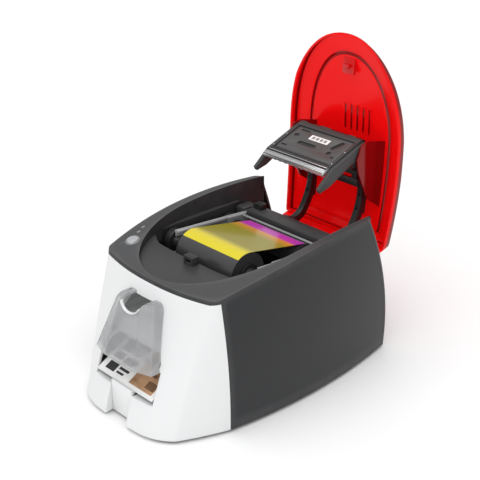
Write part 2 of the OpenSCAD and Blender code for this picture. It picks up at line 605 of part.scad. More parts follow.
// Distance in from the edge, and height over the rim, of each ring of the outer skin.
cover_steps = [[0, -skirt], [0, -1.5], [0.6, -0.2], [2, 0.6], [19, 0.45 * crown], [20.5, 0.66 * crown], [23, 0.68 * crown],
    [24.5, 0.5 * crown], [44, 0.86 * crown], [62, crown]];
inner_steps = [[62, crown], [44, 0.86 * crown], [24.5, 0.5 * crown], [5, 0.7], [cover_t, -1], [cover_t, -skirt]];
crown_w = cover_w / 2 - 62;
crown_y = [cover_tip + 62, cover_rear - 0.45 * 62];
module cover_shell() color([0.28, 0.28, 0.29]) opened() difference() {
    union() {
        skin();
        yz(concat([[cover_rear - 3, rim_z(cover_rear) - 0.5]], [for (i = [0:6]) let(h = lerp(rim_top - foot_h, apron_z - foot_h, i / 6))
            [rear_y(h) + 0.9, h + foot_h]], [for (i = [6:-1:0]) let(h = lerp(rim_top - foot_h - 4, apron_z - foot_h, i / 6))
            [rear_y(h) + 0.9 - cover_t, h + foot_h]]), 0, 2 * apron_x);
        pair() for (y = boss_y) translate([arm_x, y, pad_z]) cylinder(r = 4.5, h = rim_z(y) + 5.6 - pad_z);
        pair() yz([[14, roof_z(14)], [10.5, 143], [13, 131], [30, 125.5], [46, 130.5], [78, 150.5],
            [91.5, roof_z(91.5)], [66, roof_z(66)], [40, roof_z(40)]], gusset_x, 2);
    }
    for (i = [0:vents - 1]) translate([lerp(vent_x[0], vent_x[1], i / max(vents - 1, 1)), -0.5, 150]) rotate(90) slot(29, 1.3);
    pair() for (y = boss_y) translate([arm_x, y, 100]) cylinder(r = 1.25, h = rim_z(y) - 100);
}
module slot(l, r) linear_extrude(60) {
    square([l - 2 * r, 2 * r], center = true);
    for (s = [-1, 1]) translate([s * (l / 2 - r), 0]) circle(r = r, $fn = 16);
}
module skin() {
    outer = [for (s = cover_steps) cover_ring(s[0], s[1])];
    inner = [for (s = inner_steps) [for (p = both(cover_half(s[0]))) s[1] == -skirt ? [p[0], p[1], skirt_z(p[0], p[1])] :
        [p[0], p[1], max(rim_z(p[1]) + s[1] - cover_t, skirt_z(p[0], p[1]) + 0.3)]]];
    n = len(outer[0]);
    m = len(outer) + len(inner);
    rings = concat(outer, inner);
    k0 = len(outer);
    polyhedron(points = flat(rings), faces = flat([for (k = [0:m - 1]) let(next = (k + 1) % m)
        (k == k0 - 1) ? flat([cap(k, n, false), cap(k + 1, n, true)]) :
        flat([for (i = [0:n - 1]) let(j = (i + 1) % n, a = k * n, b = next * n)
            [[a + i, b + i, b + j], [a + i, b + j, a + j]]])]));
}
// Strip of triangles across one ring, from its left half to its right half.
function cap(k, n, turned) = let(h = n / 2, a = k * n)
    flat([for (i = [0:h - 1]) let(l0 = a + (n - i) % n, l1 = a + (n - i - 1) % n, r0 = a + i, r1 = a + i + 1)
        concat(l0 == r0 ? [] : [turned ? [l0, r0, r1] : [l0, r1, r0]], l1 == r1 ? [] : [turned ? [l0, r1, l1] : [l0, l1, r1]])]);

boss_y = [78, 94];
gusset_x = 51.5;
vent_x = [-10, 25.5];
function roof_z(y) = rim_z(y) + 0.62 * crown - 0.5 * cover_t;
pad_z = 162.5;
head_pin = [35.8, 132.4];
hook_y = bay_front - 13;
module cover_hook() color([0.3, 0.3, 0.31]) opened() {
    yz([[hook_y - 2, deck_z + 4], [hook_y + 2.4, deck_z + 5.5], [hook_y + 2.4, deck_z + 7.5], [hook_y + 0.4, deck_z + 8],
        [hook_y + 0.4, 156], [hook_y + 1, 159.4], [hook_y - 3, 159], [hook_y - 2, 156]], 0, 9);
    block([-8, hook_y - 9, deck_z + catch_h + 0.6], [8, hook_y + 9, rim_z(hook_y) + 2.2]);
}

// Two goose-neck arms joined across by a spring plate and a rear tie.
function curve(p, n) = flat([for (k = [0:len(p) - 2])
    let(a = p[k], b = p[k + 1], u = p[max(k - 1, 0)], v = p[min(k + 2, len(p) - 1)])
    [for (i = [0:n - 1]) let(t = i / n) 0.5 * (2 * a + (b - u) * t + (2 * u - 5 * a + 4 * b - v) * t * t
        + (3 * a - u - 3 * b + v) * t * t * t)]]);
arm_line = concat(curve([[hinge_y, hinge_z], [121, 143], [103, 153], [84, 157.5], [65.5, 156.6], [48, 147], head_pin], 3), [head_pin]);
module hinge_frame() color([0.75, 0.75, 0.76]) opened() {
    pair() difference() {
        slab(arm_x, arm_t) difference() {
            union() {
                polygon(along(arm_line, 4.5));
                translate([hinge_y, hinge_z]) circle(r = 8);
                translate(head_pin) circle(r = 5.5);
                translate([72, 155]) square([28, pad_z - 155]);
            }
            translate([hinge_y, hinge_z]) circle(r = pin_d / 2 + run);
            translate(head_pin) circle(r = 2.5);
        }
        for (y = boss_y) translate([arm_x, y, 150]) cylinder(r = 1.25, h = 30);
    }
    block([-arm_x, 62, 154], [arm_x, 70, 158]);
    block([-arm_x, 14, spring_z], [arm_x, 56, spring_z + 3]);
    pair() block([arm_x - arm_t / 2, 40, 140], [arm_x + arm_t / 2, 56, spring_z + 3]);
}
spring_z = 150;

// Head carriage in its own axes: s runs down its face from the top edge, t runs away behind the face.
face_at = [13.8, 134.3];
face_dir = unit([0.44, -0.898]);
face_in = [-face_dir[1], face_dir[0]];
function hd(s, t) = face_at + s * face_dir + t * face_in;
head_w = 45.7;
cheek = [46, 49.5];
module face_slab(s0, s1, t0, t1, x, w) yz([hd(s0, t0), hd(s1, t0), hd(s1, t1), hd(s0, t1)], x, w);
module head_carriage() color([0.85, 0.85, 0.86]) opened() {
    difference() {
        union() {
            face_slab(0, 50, 0, 3, 0, 2 * head_w);
            yz([hd(-6, 1.5), hd(0, 0), hd(6, 0), hd(6, 9), hd(-1, 13), hd(-6, 10)], 0, 2 * cheek[1]);
            pair() slab((cheek[0] + cheek[1]) / 2 - 0.15, cheek[1] - cheek[0] + 0.3) polygon([hd(0, 0), hd(50, 0), hd(76, 9),
                hd(75, 14), hd(60, 16), hd(30, 13), hd(2, 11)]);
            pair() for (e = head_ear) slab((e[0] + e[1]) / 2, e[1] - e[0]) union() {
                polygon([hd(2, 2), hd(22, 2), head_pin + 5 * face_dir + 2 * face_in, head_pin - 5 * face_dir + 2 * face_in]);
                translate(head_pin) circle(r = 5.4);
            }
        }
        pair() bar(arm_x, head_pin[0], head_pin[1], 2.5 + run, 20);
        for (x = [-24, 10]) face_hole(x, 20) square([17, 6], center = true);
        for (x = [-10, 30]) face_hole(x, 33) circle(r = 2.6);
        pair() slab(arm_x, arm_t + 1.2) translate(head_pin) circle(r = 7);
    }
}
head_ear = [[arm_x - arm_t / 2 - 3.6, arm_x - arm_t / 2 - 0.6], [arm_x + arm_t / 2 + 0.6, arm_x + arm_t / 2 + 3.6]];
module face_hole(x, s) let(p = hd(s, -5)) translate([x, p[0], p[1]])
    rotate([90 + atan2(face_in[1], face_in[0]), 0, 0]) translate([0, 0, -20]) linear_extrude(40) children();
module print_head() color([0.75, 0.75, 0.78]) opened() {
    face_slab(50.1, 61.3, -2, 2.5, 0, 2 * head_w - 2);
    for (x = [-40:8:40]) face_slab(50.1, 58, 2.5, 7, x, 2);
    face_slab(44, 50.1, 3.05, 7, 0, 60);
}
module head_springs() color([0.8, 0.8, 0.8]) opened() pair() for (i = [0:3])
    translate([20, 22, spring_z - 4.35 + i * 1.25]) rotate_extrude($fn = 32) translate([3.2, 0]) circle(r = 0.6, $fn = 12);
module head_pins() color([0.7, 0.7, 0.72]) opened() pair() bar(arm_x, head_pin[0], head_pin[1], 2.5, arm_t + 8.4);

// ---- ribbon cassette ----
function cas(u, v) = supply + u * [cos(cassette_tilt), -sin(cassette_tilt)] + v * [sin(cassette_tilt), cos(cassette_tilt)];
neck_r = 9;
tie_at = [cas(8, -26), cas(spool_gap + 16.4 * cos(49.4), 16.4 * sin(49.4))];
tie_r = [2, 1.5];
module cassette_plate() {
    difference() {
        union() {
            slab(plate_span / 2 - plate_t / 2, plate_t) polygon([for (p = [[-6, 15.5], [-8, -13], [5, -27.6], [46, -33],
                [72, -33], [104, -25], [106, 15.5]]) cas(p[0], p[1])]);
            slab(plate_span / 2 + 0.3, 0.6) polygon([for (p = [[33, 13], [50, -31], [70, -31], [79, 13]]) cas(p[0], p[1])]);
            slab(plate_span / 2 - plate_t / 2 - 1, plate_t + 2) polygon([for (p = [[16, 15.5], [16, 13], [68, 13], [68, 15.5]]) cas(p[0], p[1])]);
        }
        bar(60, supply[0], supply[1], neck_r + run, 30);
        bar(60, takeup[0], takeup[1], neck_r + run, 30);
        slab(60, 30) polygon([cas(0, neck_r + run), cas(-30, neck_r + run), cas(-30, -neck_r - run), cas(0, -neck_r - run)]);
    }
}
module cassette_plate_right() color([0.82, 0.82, 0.83]) cassette_plate();
module cassette_plate_left() color([0.82, 0.82, 0.83]) mirror([1, 0, 0]) cassette_plate();
module cassette_ties() color([0.8, 0.8, 0.8]) for (i = [0, 1])
    bar(0, tie_at[i][0], tie_at[i][1], tie_r[i], 2 * plate_in);

core_r = 8;
module spool(c) difference() {
    union() {
        bar(0, c[0], c[1], core_r, plate_span);
        pair() bar(plate_span / 2 - 1, c[0], c[1], neck_r, 9);
        pair() bar(ribbon_w / 2 + 1.5, c[0], c[1], 12, 2);
        pair() bar((plate_span / 2 + 1.5 + hub_span / 2) / 2, c[0], c[1], hub_r, hub_span / 2 - plate_span / 2 - 1.5);
    }
    pair() bar(hub_span / 2, c[0], c[1], 9.5, 14);
    pair() for (a = [0:30:330]) bar_at(hub_span / 2 - 3, c, 12.9, a, 0.7, 8);
    bar(0, c[0], c[1], 5.5, 200);
}
module bar_at(x, c, r, a, r0, t) bar(x, c[0] + r * cos(a), c[1] + r * sin(a), r0, t);
module roll(c, r) difference() {
    bar(0, c[0], c[1], r, ribbon_w - 1);
    bar(0, c[0], c[1], core_r, ribbon_w + 2);
}
module supply_spool() color([0.15, 0.15, 0.16]) spool(supply);
module takeup_spool() color([0.15, 0.15, 0.16]) spool(takeup);
module supply_roll() color([0.75, 0.15, 0.2]) roll(supply, roll_r);
module takeup_roll() color([0.1, 0.1, 0.12]) roll(takeup, takeup_r);
film_up = let(a = acos((roll_r - takeup_r) / spool_gap) - cassette_tilt) [cos(a), sin(a)];
module ribbon_film() color([0.2, 0.6, 0.8]) yz([supply + (roll_r + 0.05) * film_up, takeup + (takeup_r + 0.05) * film_up,
    takeup + (takeup_r + 0.25) * film_up, supply + (roll_r + 0.25) * film_up], 0, ribbon_w - 2);

base_plate();
rubber_feet();
front_panel();
housing();
bay_frame();
rear_beam();
hinge_pins();
latch_catch();
ribbon_sensor();
button_bezel();
power_button();
path_frame_left();
path_frame_right();
roller_bushes();
card_guide();
card_hopper();
card_stack();
output_tray();
printed_card();
feeder_cover();
platen_shaft();
platen_rubber();
platen_gear();
feed_shaft();
feed_rubber();
feed_gear();
pick_shaft();
pick_rubber();
pick_gear();
front_idler();
rear_idler();
motor_pinion();
motor();
main_board();
power_inlet();
usb_socket();
casing_screws();
cover_shell();
cover_hook();
hinge_frame();
head_carriage();
print_head();
head_springs();
head_pins();
cassette_plate_left();
cassette_plate_right();
cassette_ties();
supply_spool();
supply_roll();
takeup_spool();
takeup_roll();
ribbon_film();
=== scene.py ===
"""Looks of a desktop card printer: shells, cover, feeder, cassette, card path and studio.

Every length in the classes is in millimetres and is turned into metres where a mesh is made.
X runs across the printer, Y from the front panel to the back and Z up from the desk.
"""
from __future__ import annotations

import json
import logging
import math
from dataclasses import dataclass, field
from enum import Enum
from typing import Callable, Iterable, Sequence

import bmesh
import bpy
from mathutils import Matrix, Vector

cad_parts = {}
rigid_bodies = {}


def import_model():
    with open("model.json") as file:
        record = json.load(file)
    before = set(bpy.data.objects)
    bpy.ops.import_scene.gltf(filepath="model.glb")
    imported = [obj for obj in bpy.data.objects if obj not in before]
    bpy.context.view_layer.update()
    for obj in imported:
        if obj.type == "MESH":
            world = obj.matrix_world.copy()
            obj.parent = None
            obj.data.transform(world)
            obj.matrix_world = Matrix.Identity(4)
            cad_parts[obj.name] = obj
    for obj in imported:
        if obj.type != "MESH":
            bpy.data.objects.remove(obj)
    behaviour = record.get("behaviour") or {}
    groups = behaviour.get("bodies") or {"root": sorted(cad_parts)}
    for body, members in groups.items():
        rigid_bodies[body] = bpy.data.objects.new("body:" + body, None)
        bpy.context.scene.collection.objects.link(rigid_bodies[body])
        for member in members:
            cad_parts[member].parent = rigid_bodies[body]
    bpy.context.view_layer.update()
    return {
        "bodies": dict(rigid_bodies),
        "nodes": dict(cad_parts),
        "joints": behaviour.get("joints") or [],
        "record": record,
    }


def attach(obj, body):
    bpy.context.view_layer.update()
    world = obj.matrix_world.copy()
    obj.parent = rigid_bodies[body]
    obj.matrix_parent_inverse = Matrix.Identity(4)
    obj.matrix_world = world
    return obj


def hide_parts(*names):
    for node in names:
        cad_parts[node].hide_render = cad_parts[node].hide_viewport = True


LOG = logging.getLogger("card_printer")
MM = 0.001
Place = tuple[float, float]
Point = tuple[float, float, float]


class Body(Enum):
    """Bodies that the pieces ride on."""

    CASING = "casing"
    COVER = "cover"
    HEAD = "head"
    CASSETTE = "cassette"
    SUPPLY = "supply"
    TAKEUP = "takeup"
    FEEDER_DOOR = "feeder_door"
    CARD_OUT = "card_out"


def lerp(a: float, b: float, t: float) -> float:
    """Returns the value a share t of the way from a to b."""
    return a + (b - a) * t


def halves(u: float) -> Place:
    """Returns the side, -1 or 1, and the share out from the middle, for a share u of the whole width."""
    return (1.0, (u - 0.5) * 2) if u >= 0.5 else (-1.0, (0.5 - u) * 2)


# --------------------------------------------------------------------------- finishes
class Shared:
    """Node groups that several finishes use, each built once."""

    @staticmethod
    def _group(name: str, ins: Sequence[tuple[str, float]],
               outs: Sequence[tuple[str, str]]) -> bpy.types.ShaderNodeTree:
        """Starts a group with value inputs and typed outputs.

        Args:
            name: Name of the group.
            ins: Input names with their default values.
            outs: Output names with their socket types.

        Returns:
            The new group, with its input and output nodes placed.
        """
        tree = bpy.data.node_groups.new(name, "ShaderNodeTree")
        for label, value in ins:
            tree.interface.new_socket(label, in_out="INPUT", socket_type="NodeSocketFloat").default_value = value
        for label, kind in outs:
            tree.interface.new_socket(label, in_out="OUTPUT", socket_type=kind)
        tree.nodes.new("NodeGroupInput")
        tree.nodes.new("NodeGroupOutput")
        return tree

    @classmethod
    def grain(cls) -> bpy.types.ShaderNodeTree:
        """Builds the moulded grain group, or finds it.

        Returns:
            The group: a height, a mottle mask and a fine speck mask.
        """
        tree = bpy.data.node_groups.get("moulded_grain")
        if tree:
            return tree
        tree = cls._group("moulded_grain", [("Grain Scale", 900.0), ("Mottle Scale", 14.0), ("Speck Scale", 260.0)],
                          [("Height", "NodeSocketFloat"), ("Mottle", "NodeSocketFloat"), ("Speck", "NodeSocketFloat")])
        nodes, links = tree.nodes, tree.links
        gin, gout = nodes["Group Input"], nodes["Group Output"]
        at = nodes.new("ShaderNodeTexCoord")
        for label, out, detail, rough in (("Grain Scale", "Height", 3.0, 0.6), ("Mottle Scale", "Mottle", 4.0, 0.55),
                                          ("Speck Scale", "Speck", 2.0, 0.7)):
            noise = nodes.new("ShaderNodeTexNoise")
            noise.inputs["Detail"].default_value = detail
            noise.inputs["Roughness"].default_value = rough
            links.new(at.outputs["Object"], noise.inputs["Vector"])
            links.new(gin.outputs[label], noise.inputs["Scale"])
            links.new(noise.outputs["Fac"], gout.inputs[out])
        return tree

    @classmethod
    def wear(cls) -> bpy.types.ShaderNodeTree:
        """Builds the edge wear group, or finds it.

        Returns:
            The group: a mask that is high on worn convex edges, from the surface's pointiness.
        """
        tree = bpy.data.node_groups.get("edge_wear")
        if tree:
            return tree
        tree = cls._group("edge_wear", [("Start", 0.52), ("Patch Scale", 60.0)], [("Mask", "NodeSocketFloat")])
        nodes, links = tree.nodes, tree.links
        gin, gout = nodes["Group Input"], nodes["Group Output"]
        geo = nodes.new("ShaderNodeNewGeometry")
        at = nodes.new("ShaderNodeTexCoord")
        noise = nodes.new("ShaderNodeTexNoise")
        noise.inputs["Detail"].default_value = 4.0
        ramp = nodes.new("ShaderNodeMapRange")
        ramp.inputs["From Max"].default_value = 0.62
        times = nodes.new("ShaderNodeMath")
        times.operation = "MULTIPLY"
        links.new(at.outputs["Object"], noise.inputs["Vector"])
        links.new(gin.outputs["Patch Scale"], noise.inputs["Scale"])
        links.new(geo.outputs["Pointiness"], ramp.inputs["Value"])
        links.new(gin.outputs["Start"], ramp.inputs["From Min"])
        links.new(ramp.outputs["Result"], times.inputs[0])
        links.new(noise.outputs["Fac"], times.inputs[1])
        links.new(times.outputs["Value"], gout.inputs["Mask"])
        return tree


@dataclass(frozen=True)
class Finish:
    """A moulded, painted, metal or rubber surface.

    Colours are linear. grain is the bump depth in metres, mottle the share by which the colour varies, and
    gloss_change how far the roughness wanders.
    """

    name: str
    colour: tuple[float, float, float]
    rough: float = 0.45
    metal: float = 0.0
    grain: float = 0.00002
    grain_scale: float = 1400.0
    mottle: float = 0.06
    mottle_scale: float = 12.0
    gloss_change: float = 0.06
    worn: float = 0.0
    worn_colour: tuple[float, float, float] = (0.6, 0.6, 0.6)
    coat: float = 0.0
    specular: float = 0.5
    transmission: float = 0.0
    alpha: float = 1.0
    ior: float = 1.5
    glow: float = 0.0

    def make(self) -> bpy.types.Material:
        """Builds the material at its first use.

        Returns:
            The material.
        """
        title = self.name + "_finish"
        old = bpy.data.materials.get(title)
        if old:
            return old
        mat = bpy.data.materials.new(title)
        mat.use_nodes = True
        nodes, links = mat.node_tree.nodes, mat.node_tree.links
        shader = nodes["Principled BSDF"]
        shader.inputs["Metallic"].default_value = self.metal
        shader.inputs["Coat Weight"].default_value = self.coat
        shader.inputs["Coat Roughness"].default_value = 0.12
        shader.inputs["Specular IOR Level"].default_value = self.specular
        shader.inputs["Transmission Weight"].default_value = self.transmission
        shader.inputs["Alpha"].default_value = self.alpha
        shader.inputs["IOR"].default_value = self.ior
        shader.inputs["Emission Color"].default_value = (*self.colour, 1.0)
        shader.inputs["Emission Strength"].default_value = self.glow
        grain = nodes.new("ShaderNodeGroup")
        grain.node_tree = Shared.grain()
        grain.inputs["Grain Scale"].default_value = self.grain_scale
        grain.inputs["Mottle Scale"].default_value = self.mottle_scale
        colour = self._colour(nodes, links, grain)
        links.new(colour, shader.inputs["Base Color"])
        rough = nodes.new("ShaderNodeMapRange")
        rough.inputs["To Min"].default_value = max(0.02, self.rough - self.gloss_change)
        rough.inputs["To Max"].default_value = min(1.0, self.rough + self.gloss_change)
        links.new(grain.outputs["Mottle"], rough.inputs["Value"])
        links.new(rough.outputs["Result"], shader.inputs["Roughness"])
        bump = nodes.new("ShaderNodeBump")
        bump.inputs["Distance"].default_value = self.grain
        bump.inputs["Strength"].default_value = 0.8
        links.new(grain.outputs["Height"], bump.inputs["Height"])
        links.new(bump.outputs["Normal"], shader.inputs["Normal"])
        return mat

    def _colour(self, nodes: bpy.types.Nodes, links: bpy.types.NodeLinks,
                grain: bpy.types.Node) -> bpy.types.NodeSocket:
        """Adds the nodes that make the colour.

        Args:
            nodes: Nodes of the material.
            links: Links of the material.
            grain: The grain group's node.

        Returns:
            The base varied by the mottle, with the worn edges over it.
        """
        low = tuple(c * (1.0 - self.mottle) for c in self.colour)
        high = tuple(min(1.0, c * (1.0 + self.mottle)) for c in self.colour)
        ramp = nodes.new("ShaderNodeValToRGB")
        ramp.color_ramp.elements[0].color = (*low, 1.0)
        ramp.color_ramp.elements[1].color = (*high, 1.0)
        ramp.color_ramp.elements[0].position = 0.3
        ramp.color_ramp.elements[1].position = 0.7
        links.new(grain.outputs["Mottle"], ramp.inputs["Fac"])
        if not self.worn:
            return ramp.outputs["Color"]
        wear = nodes.new("ShaderNodeGroup")
        wear.node_tree = Shared.wear()
        share = nodes.new("ShaderNodeMath")
        share.operation = "MULTIPLY"
        share.inputs[1].default_value = self.worn
        mix = nodes.new("ShaderNodeMix")
        mix.data_type = "RGBA"
        mix.inputs["B"].default_value = (*self.worn_colour, 1.0)
        links.new(wear.outputs["Mask"], share.inputs[0])
        links.new(share.outputs["Value"], mix.inputs["Factor"])
        links.new(ramp.outputs["Color"], mix.inputs["A"])
        return mix.outputs["Result"]


class Finishes:
    """Every finish on the printer."""

    WHITE = Finish("white_shell", (0.74, 0.745, 0.75), rough=0.30, grain=0.000004, mottle=0.012, coat=0.12, worn=0.25,
                   worn_colour=(0.9, 0.9, 0.9))
    DARK = Finish("dark_shell", (0.0235, 0.0242, 0.0256), rough=0.42, grain=0.000012, mottle=0.05, worn=0.35,
                  specular=0.28, worn_colour=(0.12, 0.12, 0.125))
    # Lighter copy of the dark shell for the rim's upward faces: painted light on the tops.
    RIM_LIT = Finish("dark_rim_lit", (0.058, 0.059, 0.061), rough=0.36, grain=0.000012, mottle=0.05, worn=0.3, specular=0.4,
                 worn_colour=(0.16, 0.16, 0.165))
    RED = Finish("red_clear", (1.0, 0.004, 0.005), rough=0.16, grain=0.000002, mottle=0.02, transmission=0.30,
                 ior=1.34, gloss_change=0.03, specular=0.18, glow=0.06)
    RED_DEEP = Finish("red_deep", (0.62, 0.003, 0.004), rough=0.14, grain=0.000002, mottle=0.04, coat=0.1,
                      gloss_change=0.03, specular=0.3, glow=0.04)
    # Darker red: painted shade on the cover's steep skirt and ridge rows; the side plates and the bars under the vents
    # take it too.
    RED_EDGE = Finish("red_edge", (0.22, 0.002, 0.003), rough=0.14, grain=0.000002, mottle=0.05, coat=0.1,
                      gloss_change=0.03, specular=0.3)
    DECK = Finish("grey_deck", (0.045, 0.045, 0.046), rough=0.42, grain=0.00001, mottle=0.05, worn=0.25, specular=0.35,
                  worn_colour=(0.14, 0.14, 0.14))
    HEAD = Finish("grey_head", (0.075, 0.075, 0.074), rough=0.36, grain=0.00001, mottle=0.05, worn=0.2, specular=0.35,
                  worn_colour=(0.2, 0.2, 0.2))
    PALE = Finish("pale_grey", (0.25, 0.253, 0.26), rough=0.38, grain=0.00001, mottle=0.03, worn=0.5,
                  worn_colour=(0.62, 0.62, 0.62))
    RAIL = Finish("pale_rail", (0.56, 0.565, 0.57), rough=0.34, grain=0.000008, mottle=0.03, worn=0.3,
                  worn_colour=(0.8, 0.8, 0.8))
    GREY = Finish("grey_plastic", (0.25, 0.25, 0.255), rough=0.42, grain=0.00001, mottle=0.05, worn=0.2,
                  worn_colour=(0.5, 0.5, 0.5))
    BLACK = Finish("black_plastic", (0.012, 0.012, 0.013), rough=0.38, grain=0.00001, mottle=0.1, worn=0.25,
                   worn_colour=(0.05, 0.05, 0.05))
    NYLON = Finish("nylon", (0.72, 0.72, 0.68), rough=0.5, grain=0.000008, mottle=0.03)
    RUBBER = Finish("foot_rubber", (0.015, 0.015, 0.015), rough=0.85, grain=0.00005, grain_scale=700.0, mottle=0.15)
    ROLLER = Finish("roller_rubber", (0.02, 0.02, 0.021), rough=0.62, grain=0.00001, mottle=0.12)
    ZINC = Finish("zinc_steel", (0.55, 0.56, 0.58), rough=0.34, metal=1.0, grain=0.000006, mottle=0.08,
                  mottle_scale=40.0)
    SHAFT = Finish("shaft_steel", (0.62, 0.62, 0.63), rough=0.2, metal=1.0, grain=0.000003, mottle=0.05)
    ALU = Finish("satin_alu", (0.70, 0.705, 0.72), rough=0.38, metal=0.85, grain=0.000006, mottle=0.04)
    BRONZE = Finish("bronze", (0.55, 0.36, 0.15), rough=0.4, metal=1.0, grain=0.00001, mottle=0.1)
    SILVER = Finish("silver_plastic", (0.50, 0.51, 0.53), rough=0.28, metal=0.5, grain=0.000003, mottle=0.03, coat=0.3)
    CARD = Finish("card_pvc", (0.86, 0.86, 0.85), rough=0.25, grain=0.000001, mottle=0.01, coat=0.3)
    SMOKE = Finish("smoky_clear", (0.66, 0.665, 0.675), rough=0.10, grain=0.000002, mottle=0.03, transmission=0.70,
                   ior=1.35, worn=0.5, worn_colour=(0.93, 0.93, 0.94))
    # Pale, nearly opaque copy of the smoky finish for the scoop's bead: a painted highlight.
    SMOKE_HIGHLIGHT = Finish("smoky_highlight", (0.80, 0.805, 0.81), rough=0.12, grain=0.000002, mottle=0.02, transmission=0.15,
                       ior=1.4)
    BOARD = Finish("board", (0.01, 0.10, 0.05), rough=0.35, grain=0.00001, mottle=0.1)
    ROLL = Finish("ribbon_roll", (0.042, 0.042, 0.044), rough=0.32, grain=0.000004, mottle=0.05, coat=0.25)
    INK = Finish("ink_dark", (0.02, 0.02, 0.022), rough=0.3, grain=0.000001, mottle=0.05)
    SUNSET = Finish("ink_tan", (0.52, 0.30, 0.16), rough=0.3, grain=0.000001, mottle=0.35, mottle_scale=60.0)
    BRONZE_INK = Finish("ink_brown", (0.20, 0.10, 0.05), rough=0.3, grain=0.000001, mottle=0.3, mottle_scale=80.0)


@dataclass(frozen=True)
class DyedFilm:
    """Ribbon film whose dye changes from yellow to magenta along its run."""

    name: str = "ribbon_dye"
    yellow: tuple[float, float, float] = (0.78, 0.66, 0.02)
    olive: tuple[float, float, float] = (0.36, 0.31, 0.02)
    orange: tuple[float, float, float] = (0.80, 0.34, 0.05)
    magenta: tuple[float, float, float] = (0.62, 0.06, 0.52)
    start: float = -0.036
    end: float = 0.075

    def make(self) -> bpy.types.Material:
        """Builds the film's material.

        Returns:
            The material.
        """
        mat = bpy.data.materials.new(self.name + "_finish")
        mat.use_nodes = True
        nodes, links = mat.node_tree.nodes, mat.node_tree.links
        shader = nodes["Principled BSDF"]
        shader.inputs["Coat Weight"].default_value = 0.4
        shader.inputs["Coat Roughness"].default_value = 0.08
        shader.inputs["Alpha"].default_value = 0.86
        at = nodes.new("ShaderNodeTexCoord")
        part = nodes.new("ShaderNodeSeparateXYZ")
        along = nodes.new("ShaderNodeMapRange")
        along.inputs["From Min"].default_value = self.start
        along.inputs["From Max"].default_value = self.end
        ramp = nodes.new("ShaderNodeValToRGB")
        stops = ((0.0, self.yellow), (0.2, self.yellow), (0.3, self.olive), (0.66, self.olive), (0.8, self.orange),
                 (0.84, self.magenta), (1.0, self.magenta))
        ramp.color_ramp.elements[0].color = (*stops[0][1], 1.0)
        ramp.color_ramp.elements[1].color = (*stops[-1][1], 1.0)
        for place, colour in stops[1:-1]:
            ramp.color_ramp.elements.new(place).color = (*colour, 1.0)
        grain = nodes.new("ShaderNodeGroup")
        grain.node_tree = Shared.grain()
        rough = nodes.new("ShaderNodeMapRange")
        rough.inputs["To Min"].default_value = 0.16
        rough.inputs["To Max"].default_value = 0.30
        links.new(at.outputs["Object"], part.inputs["Vector"])
        links.new(part.outputs["Y"], along.inputs["Value"])
        links.new(along.outputs["Result"], ramp.inputs["Fac"])
        links.new(ramp.outputs["Color"], shader.inputs["Base Color"])
        links.new(grain.outputs["Mottle"], rough.inputs["Value"])
        links.new(rough.outputs["Result"], shader.inputs["Roughness"])
        return mat


